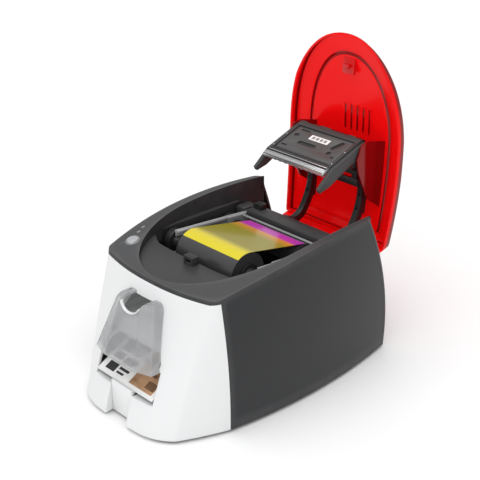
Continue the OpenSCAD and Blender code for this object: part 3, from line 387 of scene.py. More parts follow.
# --------------------------------------------------------------------------- bench
class Bench:
    """Mesh tools that the sub-assemblies share."""

    @staticmethod
    def sheet(bm: bmesh.types.BMesh, cols: int, rows: int, place: Callable[[float, float], Sequence[float]],
              deep: Sequence[int] = ()) -> list[bmesh.types.BMVert]:
        """Adds a grid whose points are moved onto a surface.

        Args:
            bm: Mesh to add to.
            cols: Number of cells along the first direction.
            rows: Number of cells along the second direction.
            place: Gives the point in millimetres for two shares from 0 to 1.
            deep: Rows that take the second material.

        Returns:
            The new vertices.
        """
        made = bmesh.ops.create_grid(bm, x_segments=cols, y_segments=rows, size=0.5)["verts"]
        for f in {f for v in made for f in v.link_faces}:
            f.material_index = int((f.calc_center_median().y + 0.5) * rows) in deep
        for v in made:
            x, y, z = place(round((v.co.x + 0.5) * cols) / cols, round((v.co.y + 0.5) * rows) / rows)
            v.co = Vector((x, y, z)) * MM
        return made

    @staticmethod
    def box(bm: bmesh.types.BMesh, low: Point, high: Point) -> list[bmesh.types.BMVert]:
        """Adds a box.

        Args:
            bm: Mesh to add to.
            low: Its lowest corner, in millimetres.
            high: Its highest corner.

        Returns:
            The new vertices.
        """
        centre = (Vector(low) + Vector(high)) * 0.5 * MM
        size = (Vector(high) - Vector(low)) * MM
        place = Matrix.Translation(centre) @ Matrix.Diagonal((*size, 1.0))
        return bmesh.ops.create_cube(bm, size=1.0, matrix=place)["verts"]

    @staticmethod
    def disc(bm: bmesh.types.BMesh, at: Point, radius: float, depth: float, axis: str = "X", segments: int = 48,
             radius2: float | None = None) -> list[bmesh.types.BMVert]:
        """Adds a round bar or cone.

        Args:
            bm: Mesh to add to.
            at: Its centre, in millimetres.
            radius: Its radius, or the first end's.
            depth: Its length.
            axis: The axis it lies along.
            segments: Sides round it.
            radius2: The second end's radius, if it is a cone.

        Returns:
            The new vertices.
        """
        turn = {"X": Matrix.Rotation(math.pi / 2, 4, "Y"), "Y": Matrix.Rotation(-math.pi / 2, 4, "X"),
                "Z": Matrix.Identity(4)}[axis]
        return bmesh.ops.create_cone(bm, cap_ends=True, segments=segments, radius1=radius * MM,
                                     radius2=(radius if radius2 is None else radius2) * MM, depth=depth * MM,
                                     matrix=Matrix.Translation(Vector(at) * MM) @ turn)["verts"]

    @staticmethod
    def pushed(bm: bmesh.types.BMesh, ring: Iterable[Point], along: Point) -> list[bmesh.types.BMVert]:
        """Adds a flat outline and extrudes it.

        Args:
            bm: Mesh to add to.
            ring: Points of the outline, in millimetres.
            along: How far it is extruded, in millimetres.

        Returns:
            The new vertices.
        """
        made = [bm.verts.new(Vector(p) * MM) for p in ring]
        out = bmesh.ops.extrude_face_region(bm, geom=[bm.faces.new(made)])["geom"]
        moved = [g for g in out if isinstance(g, bmesh.types.BMVert)]
        bmesh.ops.translate(bm, verts=moved, vec=Vector(along) * MM)
        bmesh.ops.recalc_face_normals(bm, faces=bm.faces)
        return made + moved

    @classmethod
    def prism(cls, bm: bmesh.types.BMesh, outline: Iterable[Place], x0: float, x1: float) -> list[bmesh.types.BMVert]:
        """Adds a profile drawn in Y and Z, extruded from x0 to x1, in millimetres, and returns its vertices."""
        return cls.pushed(bm, [(x0, y, z) for y, z in outline], (x1 - x0, 0, 0))

    @classmethod
    def slab(cls, bm: bmesh.types.BMesh, outline: Iterable[Place], z0: float, z1: float) -> list[bmesh.types.BMVert]:
        """Adds a profile drawn in X and Y, extruded from z0 to z1, in millimetres, and returns its vertices."""
        return cls.pushed(bm, [(x, y, z0) for x, y in outline], (0, 0, z1 - z0))

    @classmethod
    def slab_y(cls, bm: bmesh.types.BMesh, outline: Iterable[Place], y0: float, y1: float) -> list[bmesh.types.BMVert]:
        """Adds a profile drawn in X and Z, extruded from y0 to y1, in millimetres, and returns its vertices."""
        return cls.pushed(bm, [(x, y0, z) for x, z in outline], (0, y1 - y0, 0))

    @staticmethod
    def object(name: str, bm: bmesh.types.BMesh, finish: Finish | None = None,
               outward: bool = True) -> bpy.types.Object:
        """Turns a bmesh into an object at the origin.

        Args:
            name: Name of the piece.
            bm: Its mesh, freed here.
            finish: Its finish, if it has only one.
            outward: Whether the faces are turned outwards first.

        Returns:
            The new object, linked to the scene.
        """
        if outward:
            bmesh.ops.recalc_face_normals(bm, faces=bm.faces)
        mesh = bpy.data.meshes.new(name)
        bm.to_mesh(mesh)
        bm.free()
        obj = bpy.data.objects.new(name, mesh)
        bpy.context.scene.collection.objects.link(obj)
        if finish:
            mesh.materials.append(finish.make())
        return obj

    @staticmethod
    def bake(obj: bpy.types.Object) -> bpy.types.Object:
        """Applies the modifiers of an object.

        Args:
            obj: The piece.

        Returns:
            The same piece.
        """
        graph = bpy.context.evaluated_depsgraph_get()
        mesh = bpy.data.meshes.new_from_object(obj.evaluated_get(graph), depsgraph=graph)
        old, obj.data = obj.data, mesh
        mesh.name = old.name
        obj.modifiers.clear()
        bpy.data.meshes.remove(old)
        return obj

    @classmethod
    def wall(cls, obj: bpy.types.Object, thick: float, offset: float = -1.0) -> bpy.types.Object:
        """Gives a sheet a wall.

        Args:
            obj: The sheet.
            thick: Thickness in millimetres.
            offset: Side of the sheet that the wall lies on; -1 is inside.

        Returns:
            The same piece.
        """
        mod = obj.modifiers.new("wall", "SOLIDIFY")
        mod.thickness = thick * MM
        mod.offset = offset
        mod.use_even_offset = False
        mod.use_quality_normals = True
        return cls.bake(obj)

    @classmethod
    def cut(cls, obj: bpy.types.Object, cutter: bmesh.types.BMesh, join: bool = False) -> bpy.types.Object:
        """Cuts a mesh out of an object, or joins it on.

        Args:
            obj: The piece.
            cutter: The mesh, freed here.
            join: Whether it is joined on.

        Returns:
            The same piece.
        """
        tool = cls.object(obj.name + "_tool", cutter)
        mod = obj.modifiers.new("cut", "BOOLEAN")
        mod.operation = "UNION" if join else "DIFFERENCE"
        mod.solver = "EXACT"
        mod.use_self = True
        mod.object = tool
        cls.bake(obj)
        mesh = tool.data
        bpy.data.objects.remove(tool)
        bpy.data.meshes.remove(mesh)
        return obj

    @classmethod
    def ease(cls, obj: bpy.types.Object, width: float, angle: float = 35.0, segments: int = 3) -> bpy.types.Object:
        """Rounds the sharp edges of a piece and shades it smooth.

        Args:
            obj: The piece.
            width: Width of the rounding in millimetres.
            angle: Edges over this many degrees are rounded.
            segments: Steps in the rounding.

        Returns:
            The same piece.
        """
        if width:
            mod = obj.modifiers.new("ease", "BEVEL")
            mod.width = width * MM
            mod.segments = segments
            mod.limit_method = "ANGLE"
            mod.angle_limit = math.radians(angle)
            mod.profile = 0.5
            mod.harden_normals = False
            cls.bake(obj)
        cls.shade(obj, angle)
        return obj

    @staticmethod
    def edit(obj: bpy.types.Object, change: Callable[[bmesh.types.BMesh], None]) -> None:
        """Changes an object's mesh as a bmesh.

        Args:
            obj: The piece.
            change: What is done to its mesh.
        """
        bm = bmesh.new()
        bm.from_mesh(obj.data)
        change(bm)
        bm.to_mesh(obj.data)
        bm.free()

    @classmethod
    def shade(cls, obj: bpy.types.Object, angle: float = 35.0) -> None:
        """Shades a piece smooth.

        Args:
            obj: The piece.
            angle: Edges over this many degrees stay sharp.
        """
        def smooth(bm: bmesh.types.BMesh) -> None:
            """Marks the faces, and the edges that aren't sharp.

            Args:
                bm: The piece's mesh.
            """
            for f in bm.faces:
                f.smooth = True
            for e in bm.edges:
                e.smooth = len(e.link_faces) == 2 and e.calc_face_angle(0.0) < math.radians(angle)

        cls.edit(obj, smooth)

    @classmethod
    def face_out(cls, obj: bpy.types.Object, outside: Point) -> None:
        """Turns the faces of an open sheet so that most of them look to one side.

        Args:
            obj: The sheet.
            outside: A point on that side, in metres.
        """
        def turn(bm: bmesh.types.BMesh) -> None:
            """Reverses the faces if most of them look away from the point."""
            if sum(1 if f.normal.dot(Vector(outside) - f.calc_center_median()) > 0 else -1 for f in bm.faces) < 0:
                bmesh.ops.reverse_faces(bm, faces=bm.faces)

        cls.edit(obj, turn)

    @staticmethod
    def settle(obj: bpy.types.Object, body: Body, slot: str, *nodes: str) -> bpy.types.Object:
        """Rides a piece on a body and lets it stand for CAD nodes.

        Args:
            obj: The piece.
            body: The body it moves with.
            slot: The record's material slot; not used.
            *nodes: CAD nodes that it stands for.

        Returns:
            The piece.
        """
        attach(obj, body.value)
        if nodes:
            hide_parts(*nodes)
        LOG.info("built %s", obj.name)
        return obj


# --------------------------------------------------------------------------- studio
@dataclass
class Studio:
    """Camera, floor and lights."""

    camera_at: Point = (0.7775, -0.7171, 0.6422)
    azimuth: float = 46.7
    elevation: float = 24.7
    lens: float = 82.5
    floor_size: float = 60.0
    sensor: float = 36.0
    room: float = 0.56
    key: float = 11.0
    key_size: float = 1.5
    key_at: Point = (1.6, -2.3, 1.2)
    overhead: float = 2.0
    overhead_at: Point = (0.3, -0.5, 2.2)
    overhead_deg: float = 80.0
    aim: Point = (0.0, 0.0, 0.1)
    floor_finish: Finish = Finish("pale_floor", (0.9, 0.9, 0.9), rough=0.6, grain=0.0, mottle=0.004)

    def camera(self) -> None:
        """Sets up the camera at the viewing angle."""
        data = bpy.data.cameras.new("camera")
        data.lens = self.lens
        data.sensor_width = self.sensor
        data.clip_start = 0.01
        data.clip_end = 200.0
        cam = bpy.data.objects.new("camera", data)
        bpy.context.scene.collection.objects.link(cam)
        a, e = math.radians(self.azimuth), math.radians(self.elevation)
        back = Vector((math.sin(a) * math.cos(e), -math.cos(a) * math.cos(e), math.sin(e)))
        right = Vector((math.cos(a), math.sin(a), 0.0))
        up = back.cross(right)
        turn = Matrix((right, up, back)).transposed().to_4x4()
        cam.matrix_world = Matrix.Translation(Vector(self.camera_at)) @ turn
        bpy.context.scene.camera = cam

    def floor(self) -> None:
        """Lays the pale floor."""
        bm = bmesh.new()
        bmesh.ops.create_grid(bm, x_segments=1, y_segments=1, size=self.floor_size / 2)
        Bench.object("floor", bm, self.floor_finish, outward=False)

    def lights(self) -> None:
        """Hangs a soft key and a wide overhead light in a pale room."""
        world = bpy.data.worlds.new("room")
        bpy.context.scene.world = world
        world.use_nodes = True
        pale = world.node_tree.nodes["Background"]
        pale.inputs["Color"].default_value = (1.0, 1.0, 1.0, 1.0)
        pale.inputs["Strength"].default_value = self.room
        bpy.context.scene.view_settings.view_transform = "Standard"
        sun = bpy.data.lights.new("overhead", "SUN")
        sun.energy = self.overhead
        sun.angle = math.radians(self.overhead_deg)
        key = bpy.data.lights.new("key", "AREA")
        key.shape = "DISK"
        key.size = self.key_size
        key.energy = self.key
        for data, at in ((sun, self.overhead_at), (key, self.key_at)):
            obj = bpy.data.objects.new(data.name, data)
            obj.location = at
            obj.rotation_euler = (Vector(self.aim) - Vector(at)).to_track_quat("-Z", "Y").to_euler()
            bpy.context.scene.collection.objects.link(obj)

    def build(self) -> None:
        """Sets up camera, floor and lights."""
        self.camera()
        self.floor()
        self.lights()


# --------------------------------------------------------------------------- casing
@dataclass
class Shape:
    """Outline of the casing and of the arch in it, in millimetres."""

    half_w: float = 106.0
    widest_y: float = 17.0
    widest_h: float = 55.0
    belly: float = 0.00076
    front_taper: Place = (0.00082, 0.00108)
    back_taper: float = 0.00074
    front_y: float = -160.0
    front_lean: float = 53.0
    front_h: float = 142.0
    front_bow: float = 1.15
    back_y: float = 165.0
    back_lean: float = 34.0
    back_h: float = 164.0
    back_crown: float = 2.0
    crease_in: float = 33.0
    crease_spread: float = 7.0
    crease_y: float = 20.0
    crease_lean: float = 42.0
    crease_h: float = 146.0
    crease_bow: float = 1.1
    crease_share: float = 0.7
    cheek: float = 5.0
    seam_back: float = 73.5
    seam_lean: float = 5.5
    level: float = 150.0
    rim_top: float = 171.5
    rim_y: float = 90.0
    rim_k: float = 0.00066
    foot_h: float = 4.0
    corner_r: float = 10.0
    corner_deg: float = 72.0
    corner_shares: Place = (0.75, 0.93)
    cover_w: float = 162.0
    cover_tip: float = -97.0
    cover_rear: float = 131.0
    arch_mid: float = 19.0
    arch_n: float = 2.1
    narrow_from: float = 45.0
    narrow_by: float = 5.0
    deck_z: float = 146.0
    deck_dish: float = 4.0
    deck_flat: float = 20.0
    deck_run: float = 60.0

    def side_w(self, h: float) -> float:
        """Returns the greatest half width at a height over the feet."""
        return self.half_w - self.belly * (h - self.widest_h) ** 2

    def side_x(self, h: float, y: float) -> float:
        """Returns the half width at a height and a place along the printer."""
        k = lerp(*self.front_taper, h / self.level) if y < self.widest_y else self.back_taper
        return self.side_w(h) - k * (y - self.widest_y) ** 2

    def face_y(self, h: float) -> float:
        """Returns where the front stands in the middle at a height."""
        return self.front_y + self.front_lean * (max(h, 0) / self.front_h) ** self.front_bow

    def rear_y(self, h: float) -> float:
        """Returns where the back stands in the middle at a height."""
        return self.back_y - self.back_lean * (max(h, 0) / self.back_h) ** 2

    def crease(self, h: float) -> Place:
        """Finds the crease of the front panel.

        Args:
            h: Height over the feet.

        Returns:
            X and Y of the crease on the right-hand side.
        """
        rise = max(h, 0) / self.crease_h
        return (self.half_w - self.crease_in + self.crease_spread * h / self.crease_h,
                self.front_y + self.crease_y + self.crease_lean * rise ** self.crease_bow)

    def bow(self, h: float) -> float:
        """Returns how sharply the front turns to the crease at a height."""
        return lerp(4, 2.2, h / self.crease_h)

    def face_at(self, h: float, x: float) -> float:
        """Returns where the front stands at a height and a distance from the middle, short of the crease."""
        xc, yc = self.crease(h)
        return lerp(self.face_y(h), yc, (abs(x) / xc) ** self.bow(h))

    def seam_y(self, h: float) -> float:
        """Returns where the front panel ends at a height."""
        return self.front_y + self.seam_back - self.seam_lean * h / self.level

    def rim_z(self, y: float) -> float:
        """Returns the height of the rim."""
        return self.rim_top - self.rim_k * (y - self.rim_y) ** 2

    def deck_at(self, x: float) -> float:
        """Returns the height of the dished deck inside the rim."""
        return self.deck_z + self.deck_dish * (max(abs(x) - self.deck_flat, 0) / self.deck_run) ** 2

    def front(self, h: float, t: float) -> Place:
        """Gives the outline of the front panel.

        Args:
            h: Height over the feet.
            t: Share from the front's middle, 0, to the seam, 1.

        Returns:
            X and Y.
        """
        xc, yc = self.crease(h)
        if t < self.crease_share:
            s = t / self.crease_share
            return xc * s, lerp(self.face_y(h), yc, s ** self.bow(h))
        s = (t - self.crease_share) / (1 - self.crease_share)
        yb = self.seam_y(h)
        return lerp(xc, self.side_x(h, yb), s) + self.cheek * s * (1 - s), lerp(yc, yb, s)

    def corner(self, h: float) -> Place:
        """Returns the centre of the round back corner at a height."""
        ye = self.rear_y(h) - self.corner_r - self.back_crown
        return self.side_x(h, ye) - self.corner_r, ye

    def side(self, h: float, t: float, x_end: float) -> Place:
        """Gives the outline from the seam round the back corner.

        Args:
            h: Height over the feet.
            t: Share from the seam, 0, to the end, 1.
            x_end: Where it ends on the back.

        Returns:
            X and Y.
        """
        xe, ye = self.corner(h)
        start, end = self.corner_shares
        if t < start:
            y = lerp(self.seam_y(h), ye, t / start)
            return self.side_x(h, y), y
        a = math.radians(lerp(0, self.corner_deg, min((t - start) / (end - start), 1.0)))
        x0, y0 = xe + self.corner_r * math.cos(a), ye + self.corner_r * math.sin(a)
        if t < end:
            return x0, y0
        s = (t - end) / (1 - end)
        return lerp(x0, x_end, s), lerp(y0, self.back(h, x_end), s ** 0.8)

    def back(self, h: float, x: float) -> float:
        """Returns where the back stands at a height and a distance from the middle."""
        xe, ye = self.corner(h)
        return ye + self.corner_r + self.back_crown * (1 - (x / xe) ** 2)

    def narrowing(self, y: float) -> float:
        """Returns how far the arch has drawn in behind its widest part."""
        run = (min(y, self.cover_rear) - self.narrow_from) / (self.cover_rear - self.narrow_from)
        return self.narrow_by * max(run, 0.0) ** 1.5

    def arch(self, out: float, t: float, share: float = 0.52) -> Place:
        """Gives the arch round the opening.

        Args:
            out: How far it is set out.
            t: Share from its tip, 0, to its open end at the back, 1.
            share: Share at which its curved part ends.

        Returns:
            X and Y.
        """
        w, ln = self.cover_w / 2 + out, self.arch_mid - self.cover_tip + out
        if t < share:
            a = math.pi / 2 * t / share
            return w * math.sin(a) ** (2 / self.arch_n), self.arch_mid - ln * math.cos(a) ** (2 / self.arch_n)
        y = lerp(self.arch_mid, self.cover_rear, (t - share) / (1 - share))
        return w - self.narrowing(y), y

    def top_h(self, where: Callable[[float], Place]) -> float:
        """Finds where an outline point meets the rim.

        Args:
            where: Gives the point's X and Y at a height over the feet.

        Returns:
            The height over the feet.
        """
        h = self.level
        for _ in range(12):
            h = self.rim_z(where(h)[1]) - self.foot_h
        return h


@dataclass
class Shells:
    """White front panel and dark housing."""

    shape: Shape = field(default_factory=Shape)
    wall: float = 2.8
    rim_t: float = 3.2
    seam: float = 0.4
    cover_gap: float = 5.0
    notch_x: float = 82.5
    notch_z: float = 101.0
    lip_z: float = 137.0
    front_share: float = 0.34
    arch_share: float = 0.40
    window: tuple[Place, ...] = ((-43.5, 68), (43.5, 68), (43.5, 77), (26, 120), (18, 128), (-18, 128), (-26, 120),
                                 (-43.5, 77))
    outlet: Point = (46.0, 35.0, 69.0)
    thumb: Point = (17.0, -10.0, 35.5)
    block_back: float = -142.0
    block_x: Place = (12.0, 50.0)
    button_at: Point = (-72.0, -73.0, 160.0)
    button_r: float = 7.7
    vents: int = 9
    vent_x: float = 62.0
    vent_pitch: float = 4.0
    vent_z: Place = (62.0, 84.0)
    sockets: tuple[tuple[Place, Place], ...] = (((-57.2, 28.8), (-46.8, 39.2)), ((-30.3, 28.2), (-17.7, 39.8)))

    def panel(self) -> bpy.types.Object:
        """Makes the white front panel with its window, outlet and thumb notch.

        Returns:
            The panel.
        """
        sh = self.shape

        def place(u: float, v: float) -> Point:
            """Places a point of the front.

            Args:
                u: Share across.
                v: Share from the foot to the top edge.

            Returns:
                The point.
            """
            side, t = halves(u)
            t = min(t, 1.0)
            top = sh.top_h(lambda h: sh.front(h, t)) - self.rim_t - self.seam
            x, y = sh.front(top * v, t)
            return side * x, y - (self.seam if t > 0.995 else 0.0), top * v + sh.foot_h

        bm = bmesh.new()
        Bench.sheet(bm, 120, 40, place)
        obj = Bench.object("front_panel_white", bm, Finishes.WHITE, outward=False)
        Bench.face_out(obj, (0, -0.3, 0.08))
        Bench.wall(obj, self.wall)
        blocks = bmesh.new()
        for s in (-1, 1):
            self._block(blocks, s)
        Bench.cut(obj, blocks, join=True)
        tool = bmesh.new()
        Bench.slab_y(tool, self.window, -200, -60)
        Bench.cut(obj, tool)
        for x, low, high in (self.outlet, self.thumb):
            tool = bmesh.new()
            Bench.box(tool, (-x, -220, low), (x, -60, high))
            Bench.cut(obj, tool)
        Bench.ease(obj, 1.0, 40, 3)
        return Bench.settle(obj, Body.CASING, "white_shell", "front_panel")

    def _block(self, bm: bmesh.types.BMesh, side: int) -> None:
        """Adds one of the two solid blocks beside the thumb notch, fitted behind the panel.

        Args:
            bm: Mesh to add to.
            side: Side it is on, -1 or 1.
        """
        sh = self.shape
        made = bmesh.ops.create_grid(bm, x_segments=10, y_segments=10, size=0.5)["verts"]
        out = bmesh.ops.extrude_face_region(bm, geom=list({f for v in made for f in v.link_faces}))["geom"]
        back = {g for g in out if isinstance(g, bmesh.types.BMVert)}
        for v in list(made) + list(back):
            x = side * lerp(*self.block_x, v.co.x + 0.5)
            z = lerp(sh.foot_h, self.outlet[1], v.co.y + 0.5)
            y = sh.face_at(z - sh.foot_h, x) + 0.8
            v.co = Vector((x, self.block_back if v in back else y, z)) * MM

    def _surface(self) -> bmesh.types.BMesh:
        """Makes the outer face of the housing: sides, back, the rim round the opening and the lip inside it.

        Returns:
            The open surface.
        """
        sh = self.shape
        low, high, rim, lip = 12, 10, 9, 3
        rows = low + high + 1 + rim + lip
        cols = 236
        share = self.front_share

        def outline(h: float, t: float) -> Place:
            """Returns the outline at a height, from the front's middle to the notch at the back."""
            return sh.front(h, t / share) if t < share else sh.side(h, (t - share) / (1 - share), self.notch_x)

        def arch_t(t: float) -> float:
            """Finds the place on the arch that faces a place on the outline.

            Args:
                t: Share along the outline.

            Returns:
                The share along the arch.
            """
            if t < share:
                return (t / share) * self.arch_share
            return self.arch_share + (t - share) / (1 - share) * (1 - self.arch_share)

        def place(u: float, v: float) -> Point:
            """Places a point of the wall, then of the rim, then of the lip inside.

            Args:
                u: Share across.
                v: Share from the foot inwards.

            Returns:
                The point.
            """
            side, t = halves(u)
            row = round(v * rows)
            top = sh.top_h(lambda h: outline(h, t))
            band = top - self.rim_t
            if row <= low:
                h = lerp(0.0, self.notch_z - sh.foot_h, row / low)
            elif row <= low + high:
                h = lerp(self.notch_z - sh.foot_h, band, (row - low) / high)
            elif row == low + high + 1:
                h = top
            else:
                ox, oy = outline(top, t)
                ax, ay = sh.arch(self.cover_gap, arch_t(t))
                k = row - low - high - 1
                if k <= rim:
                    s = k / rim
                    x, y = lerp(ox, ax, s), lerp(oy, ay, s)
                    return side * x, y, sh.rim_z(y)
                return side * ax, ay, lerp(sh.rim_z(ay), self.lip_z, (k - rim) / lip)
            x, y = outline(h, t)
            return side * x, y, h + sh.foot_h

        bm = bmesh.new()
        Bench.sheet(bm, cols, rows, place)
        gone = []
        for f in bm.faces:
            c = f.calc_center_median() / MM
            if c.y < sh.seam_y(c.z - sh.foot_h) - 0.05 and c.z < sh.rim_z(c.y) - self.rim_t - 0.05 and self._on_wall(c):
                gone.append(f)
        bmesh.ops.delete(bm, geom=gone, context="FACES")

        def under_notch(u: float, v: float) -> Point:
            """Returns a point of the back below the notch for the cover."""
            x, h = lerp(-self.notch_x, self.notch_x, u), lerp(0.0, self.notch_z - sh.foot_h, v)
            return x, sh.back(h, x), lerp(sh.foot_h, self.notch_z, v)

        Bench.sheet(bm, 60, low, under_notch)
        bmesh.ops.remove_doubles(bm, verts=bm.verts, dist=0.0002)
        bmesh.ops.recalc_face_normals(bm, faces=bm.faces)
        return bm

    def housing(self) -> bpy.types.Object:
        """Makes the dark housing: sides, back and the rim round the opening, in one piece.

        Returns:
            The housing.
        """
        bm = self._surface()
        obj = Bench.object("housing_dark", bm, Finishes.DARK, outward=False)
        Bench.face_out(obj, (2.0, 0.0, 0.6))
        Bench.wall(obj, self.wall - 0.3)
        tool = bmesh.new()
        Bench.disc(tool, self.button_at, self.button_r, 60, "Z")
        Bench.cut(obj, tool)
        Bench.cut(obj, self._rear_openings())
        Bench.ease(obj, 0.9, 38, 3)
        # The rim's upward faces take the lighter copy of the dark finish: painted light on the tops.
        obj.data.materials.append(Finishes.RIM_LIT.make())
        for face in obj.data.polygons:
            c = face.center / MM
            face.material_index = int(face.normal.z > 0.75 and abs(c.z - self.shape.rim_z(c.y)) < 1.5)
        return Bench.settle(obj, Body.CASING, "dark_shell", "housing")

    def _rear_openings(self) -> bmesh.types.BMesh:
        """Makes the tool that cuts the back.

        Returns:
            Bars for the vent slots, and a block for each socket.
        """
        tool = bmesh.new()
        for i in range(self.vents):
            for side in (-1, 1):
                x = side * self.vent_x + (i - (self.vents - 1) / 2) * self.vent_pitch
                Bench.box(tool, (x, 100, self.vent_z[0]), (x + self.vent_pitch / 2, 190, self.vent_z[1]))
        for low, high in self.sockets:
            Bench.box(tool, (low[0], 100, low[1]), (high[0], 190, high[1]))
        return tool

    def _on_wall(self, c: Vector) -> bool:
        """Tells whether a point lies on the outer wall rather than on the lip inside."""
        ax = [self.shape.arch(self.cover_gap, i / 40) for i in range(41)]
        return min(math.hypot(abs(c.x) - x, c.y - y) for x, y in ax) > 2.0

    def build(self) -> None:
        """Builds both shells."""
        self.panel()
        self.housing()


# --------------------------------------------------------------------------- cover
@dataclass
class Cover:
    """Red arched cover, drawn shut and then turned open about its hinge line, in millimetres."""

    shape: Shape = field(default_factory=Shape)
    hinge_y: float = 129.2
    hinge_z: float = 124.5
    open_deg: float = 96.0
    wall: float = 2.6
    skirt: float = 11.0
    shares: Place = (0.55, 0.88)
    apron_x: float = 75.0
    apron_z: float = 104.0
    vents: int = 5
    vent_x: Place = (-10.0, 25.5)
    vent_mid: float = -0.5
    vent_half: float = 13.2
    vent_r: float = 1.3
    steps: tuple[Place, ...] = (
        (0, -11), (0, -6), (0, -1.5), (0.15, -0.8), (0.6, -0.2), (1.2, 0.25), (2, 0.6), (7, 1.5), (13, 2.6),
        (18.4, 3.5), (19, 3.66), (19.6, 4.3), (20.5, 5.1), (21.6, 5.4), (23, 5.3), (24.0, 4.5), (24.6, 4.05),
        (26, 4.25), (32, 5.3), (44, 6.88), (55, 7.7), (62, 8.0), (70, 8.1), (78, 8.15), (81, 8.15))
    # Rows of the steep skirt and ridge flanks that take the darker red: painted shade.
    painted_shade_rows: tuple[int, ...] = (1, 2, 3, 4, 10, 11, 14, 15)
    louvre: tuple[Place, ...] = ((-15.4, 170.4), (14.4, 173.9), (14.4, 174.9), (-15.4, 171.4))
    gusset: tuple[Place, ...] = ((14, 170.3), (10.5, 143), (13, 131), (30, 125.5), (46, 130.5), (78, 150.5),
                                 (91.5, 174.2), (66, 174.2), (40, 172.6))
    gusset_x: float = 50.5
    gusset_t: float = 2.0
    louvre_w: float = 3.0

    def opened(self, point: Sequence[float]) -> Point:
        """Turns a point of the shut cover about the hinge line.

        Args:
            point: The point, in millimetres.

        Returns:
            Where it lies with the cover open.
        """
        a = math.radians(-self.open_deg)
        c, s = math.cos(a), math.sin(a)
        dy, dz = point[1] - self.hinge_y, point[2] - self.hinge_z
        return point[0], self.hinge_y + dy * c - dz * s, self.hinge_z + dy * s + dz * c

    def swing(self, bm: bmesh.types.BMesh) -> None:
        """Turns a whole mesh from the shut place to the open one."""
        for v in bm.verts:
            v.co = Vector(self.opened(v.co / MM)) * MM

    def outline(self, q: float, t: float) -> Place:
        """Gives the cover's plan outline.

        Args:
            q: Distance inside the edge.
            t: Share from the tip, 0, round to the middle of the back, 1.

        Returns:
            X and Y.
        """
        sh = self.shape
        w, ln, e = sh.cover_w / 2 - q, sh.arch_mid - sh.cover_tip - q, sh.cover_rear - 0.45 * q
        arc, side = self.shares
        if t < arc:
            a = math.pi / 2 * t / arc
            return w * math.sin(a) ** (2 / sh.arch_n), sh.arch_mid - ln * math.cos(a) ** (2 / sh.arch_n)
        if t < side:
            y = lerp(sh.arch_mid, e, (t - arc) / (side - arc))
            return w - sh.narrowing(y) * w / (sh.cover_w / 2), y
        s = (t - side) / (1 - side)
        x0 = w - sh.narrowing(e) * w / (sh.cover_w / 2)
        return x0 * (1 - s), e + 1 - (1 - s) ** 2

    def shell(self) -> bpy.types.Object:
        """Makes the shut cover's shell with its border band, ridge, domed panel and vents.

        Returns:
            The shell.
        """
        rows = len(self.steps) - 1

        def place(u: float, v: float) -> Point:
            """Places a point of the shell.

            Args:
                u: Share round the outline.
                v: Share from the foot of the skirt in to the middle.

            Returns:
                The point.
            """
            side, t = halves(u)
            q, h = self.steps[round(v * rows)]
            x, y = self.outline(q, min(t, 1.0))
            z = self.shape.rim_z(y)
            low = max(z - self.skirt, self.shape.deck_at(x) + 0.6)
            return side * x, y, low if h <= -self.skirt else max(z + h, low + 0.25 * (self.skirt + h))

        bm = bmesh.new()
        Bench.sheet(bm, 168, rows, place, self.painted_shade_rows)
        bmesh.ops.remove_doubles(bm, verts=bm.verts, dist=0.00005)
        obj = Bench.object("cover_red", bm, Finishes.RED, outward=False)
        # Second finish, the darker red on the steep rows: painted shade.
        obj.data.materials.append(Finishes.RED_EDGE.make())
        Bench.face_out(obj, (0, 0, 3.0))
        Bench.wall(obj, self.wall)
        tool = bmesh.new()
        half = 12
        for x in self.vent_places():
            ring = []
            for k in range(2 * half):
                a = math.pi * (k - (k >= half)) / (half - 1)
                y = self.vent_mid + (self.vent_half if k < half else -self.vent_half)
                ring.append((x + self.vent_r * math.cos(a), y + self.vent_r * math.sin(a)))
            Bench.slab(tool, ring, 150, 200)
        return Bench.cut(obj, tool)

    def vent_places(self) -> list[float]:
        """Returns where the vent slots stand across the cover."""
        return [lerp(*self.vent_x, i / (self.vents - 1)) for i in range(self.vents)]

    def apron(self) -> bpy.types.Object:
        """Makes the wall that hangs from the shut cover's back edge.

        Returns:
            The apron.
        """
        sh = self.shape

        def back(u: float, v: float) -> Point:
            """Returns a point just outside the casing's back, from the rim down."""
            h = lerp(sh.rim_top - sh.foot_h - 1, self.apron_z - sh.foot_h, v)
            return lerp(-self.apron_x, self.apron_x, u), sh.rear_y(h) + 0.9, h + sh.foot_h

        bm = bmesh.new()
        Bench.sheet(bm, 40, 12, back)
        obj = Bench.object("cover_apron", bm, Finishes.RED, outward=False)
        Bench.face_out(obj, (0, 3.0, 0.1))
        return Bench.wall(obj, self.wall)

    def gussets(self) -> bpy.types.Object:
        """Makes the two side plates that carry the arms.

        Returns:
            Both plates as one piece.
        """
        bm = bmesh.new()
        for x in (-self.gusset_x - self.gusset_t, self.gusset_x):
            Bench.prism(bm, self.gusset, x, x + self.gusset_t)
        return Bench.object("cover_gussets", bm, Finishes.RED_EDGE)

    def louvres(self) -> bpy.types.Object:
        """Makes the dark bars under the vent slots.

        Returns:
            The bars as one piece.
        """
        bm = bmesh.new()
        for x in self.vent_places():
            Bench.prism(bm, self.louvre, x - self.louvre_w / 2, x + self.louvre_w / 2)
        return Bench.object("cover_louvres", bm, Finishes.RED_EDGE)

    def build(self) -> None:
        """Builds the shut cover, eases it and swings it open."""
        shell, apron, gussets, louvres = self.shell(), self.apron(), self.gussets(), self.louvres()
        for piece in (shell, apron, gussets, louvres):
            Bench.ease(piece, 0.1 if piece == louvres else 0.3, 40, 2)
            Bench.edit(piece, self.swing)
        for piece in (louvres, gussets, apron):
            Bench.settle(piece, Body.COVER, "red_clear")
        Bench.settle(shell, Body.COVER, "red_clear", "cover_shell")


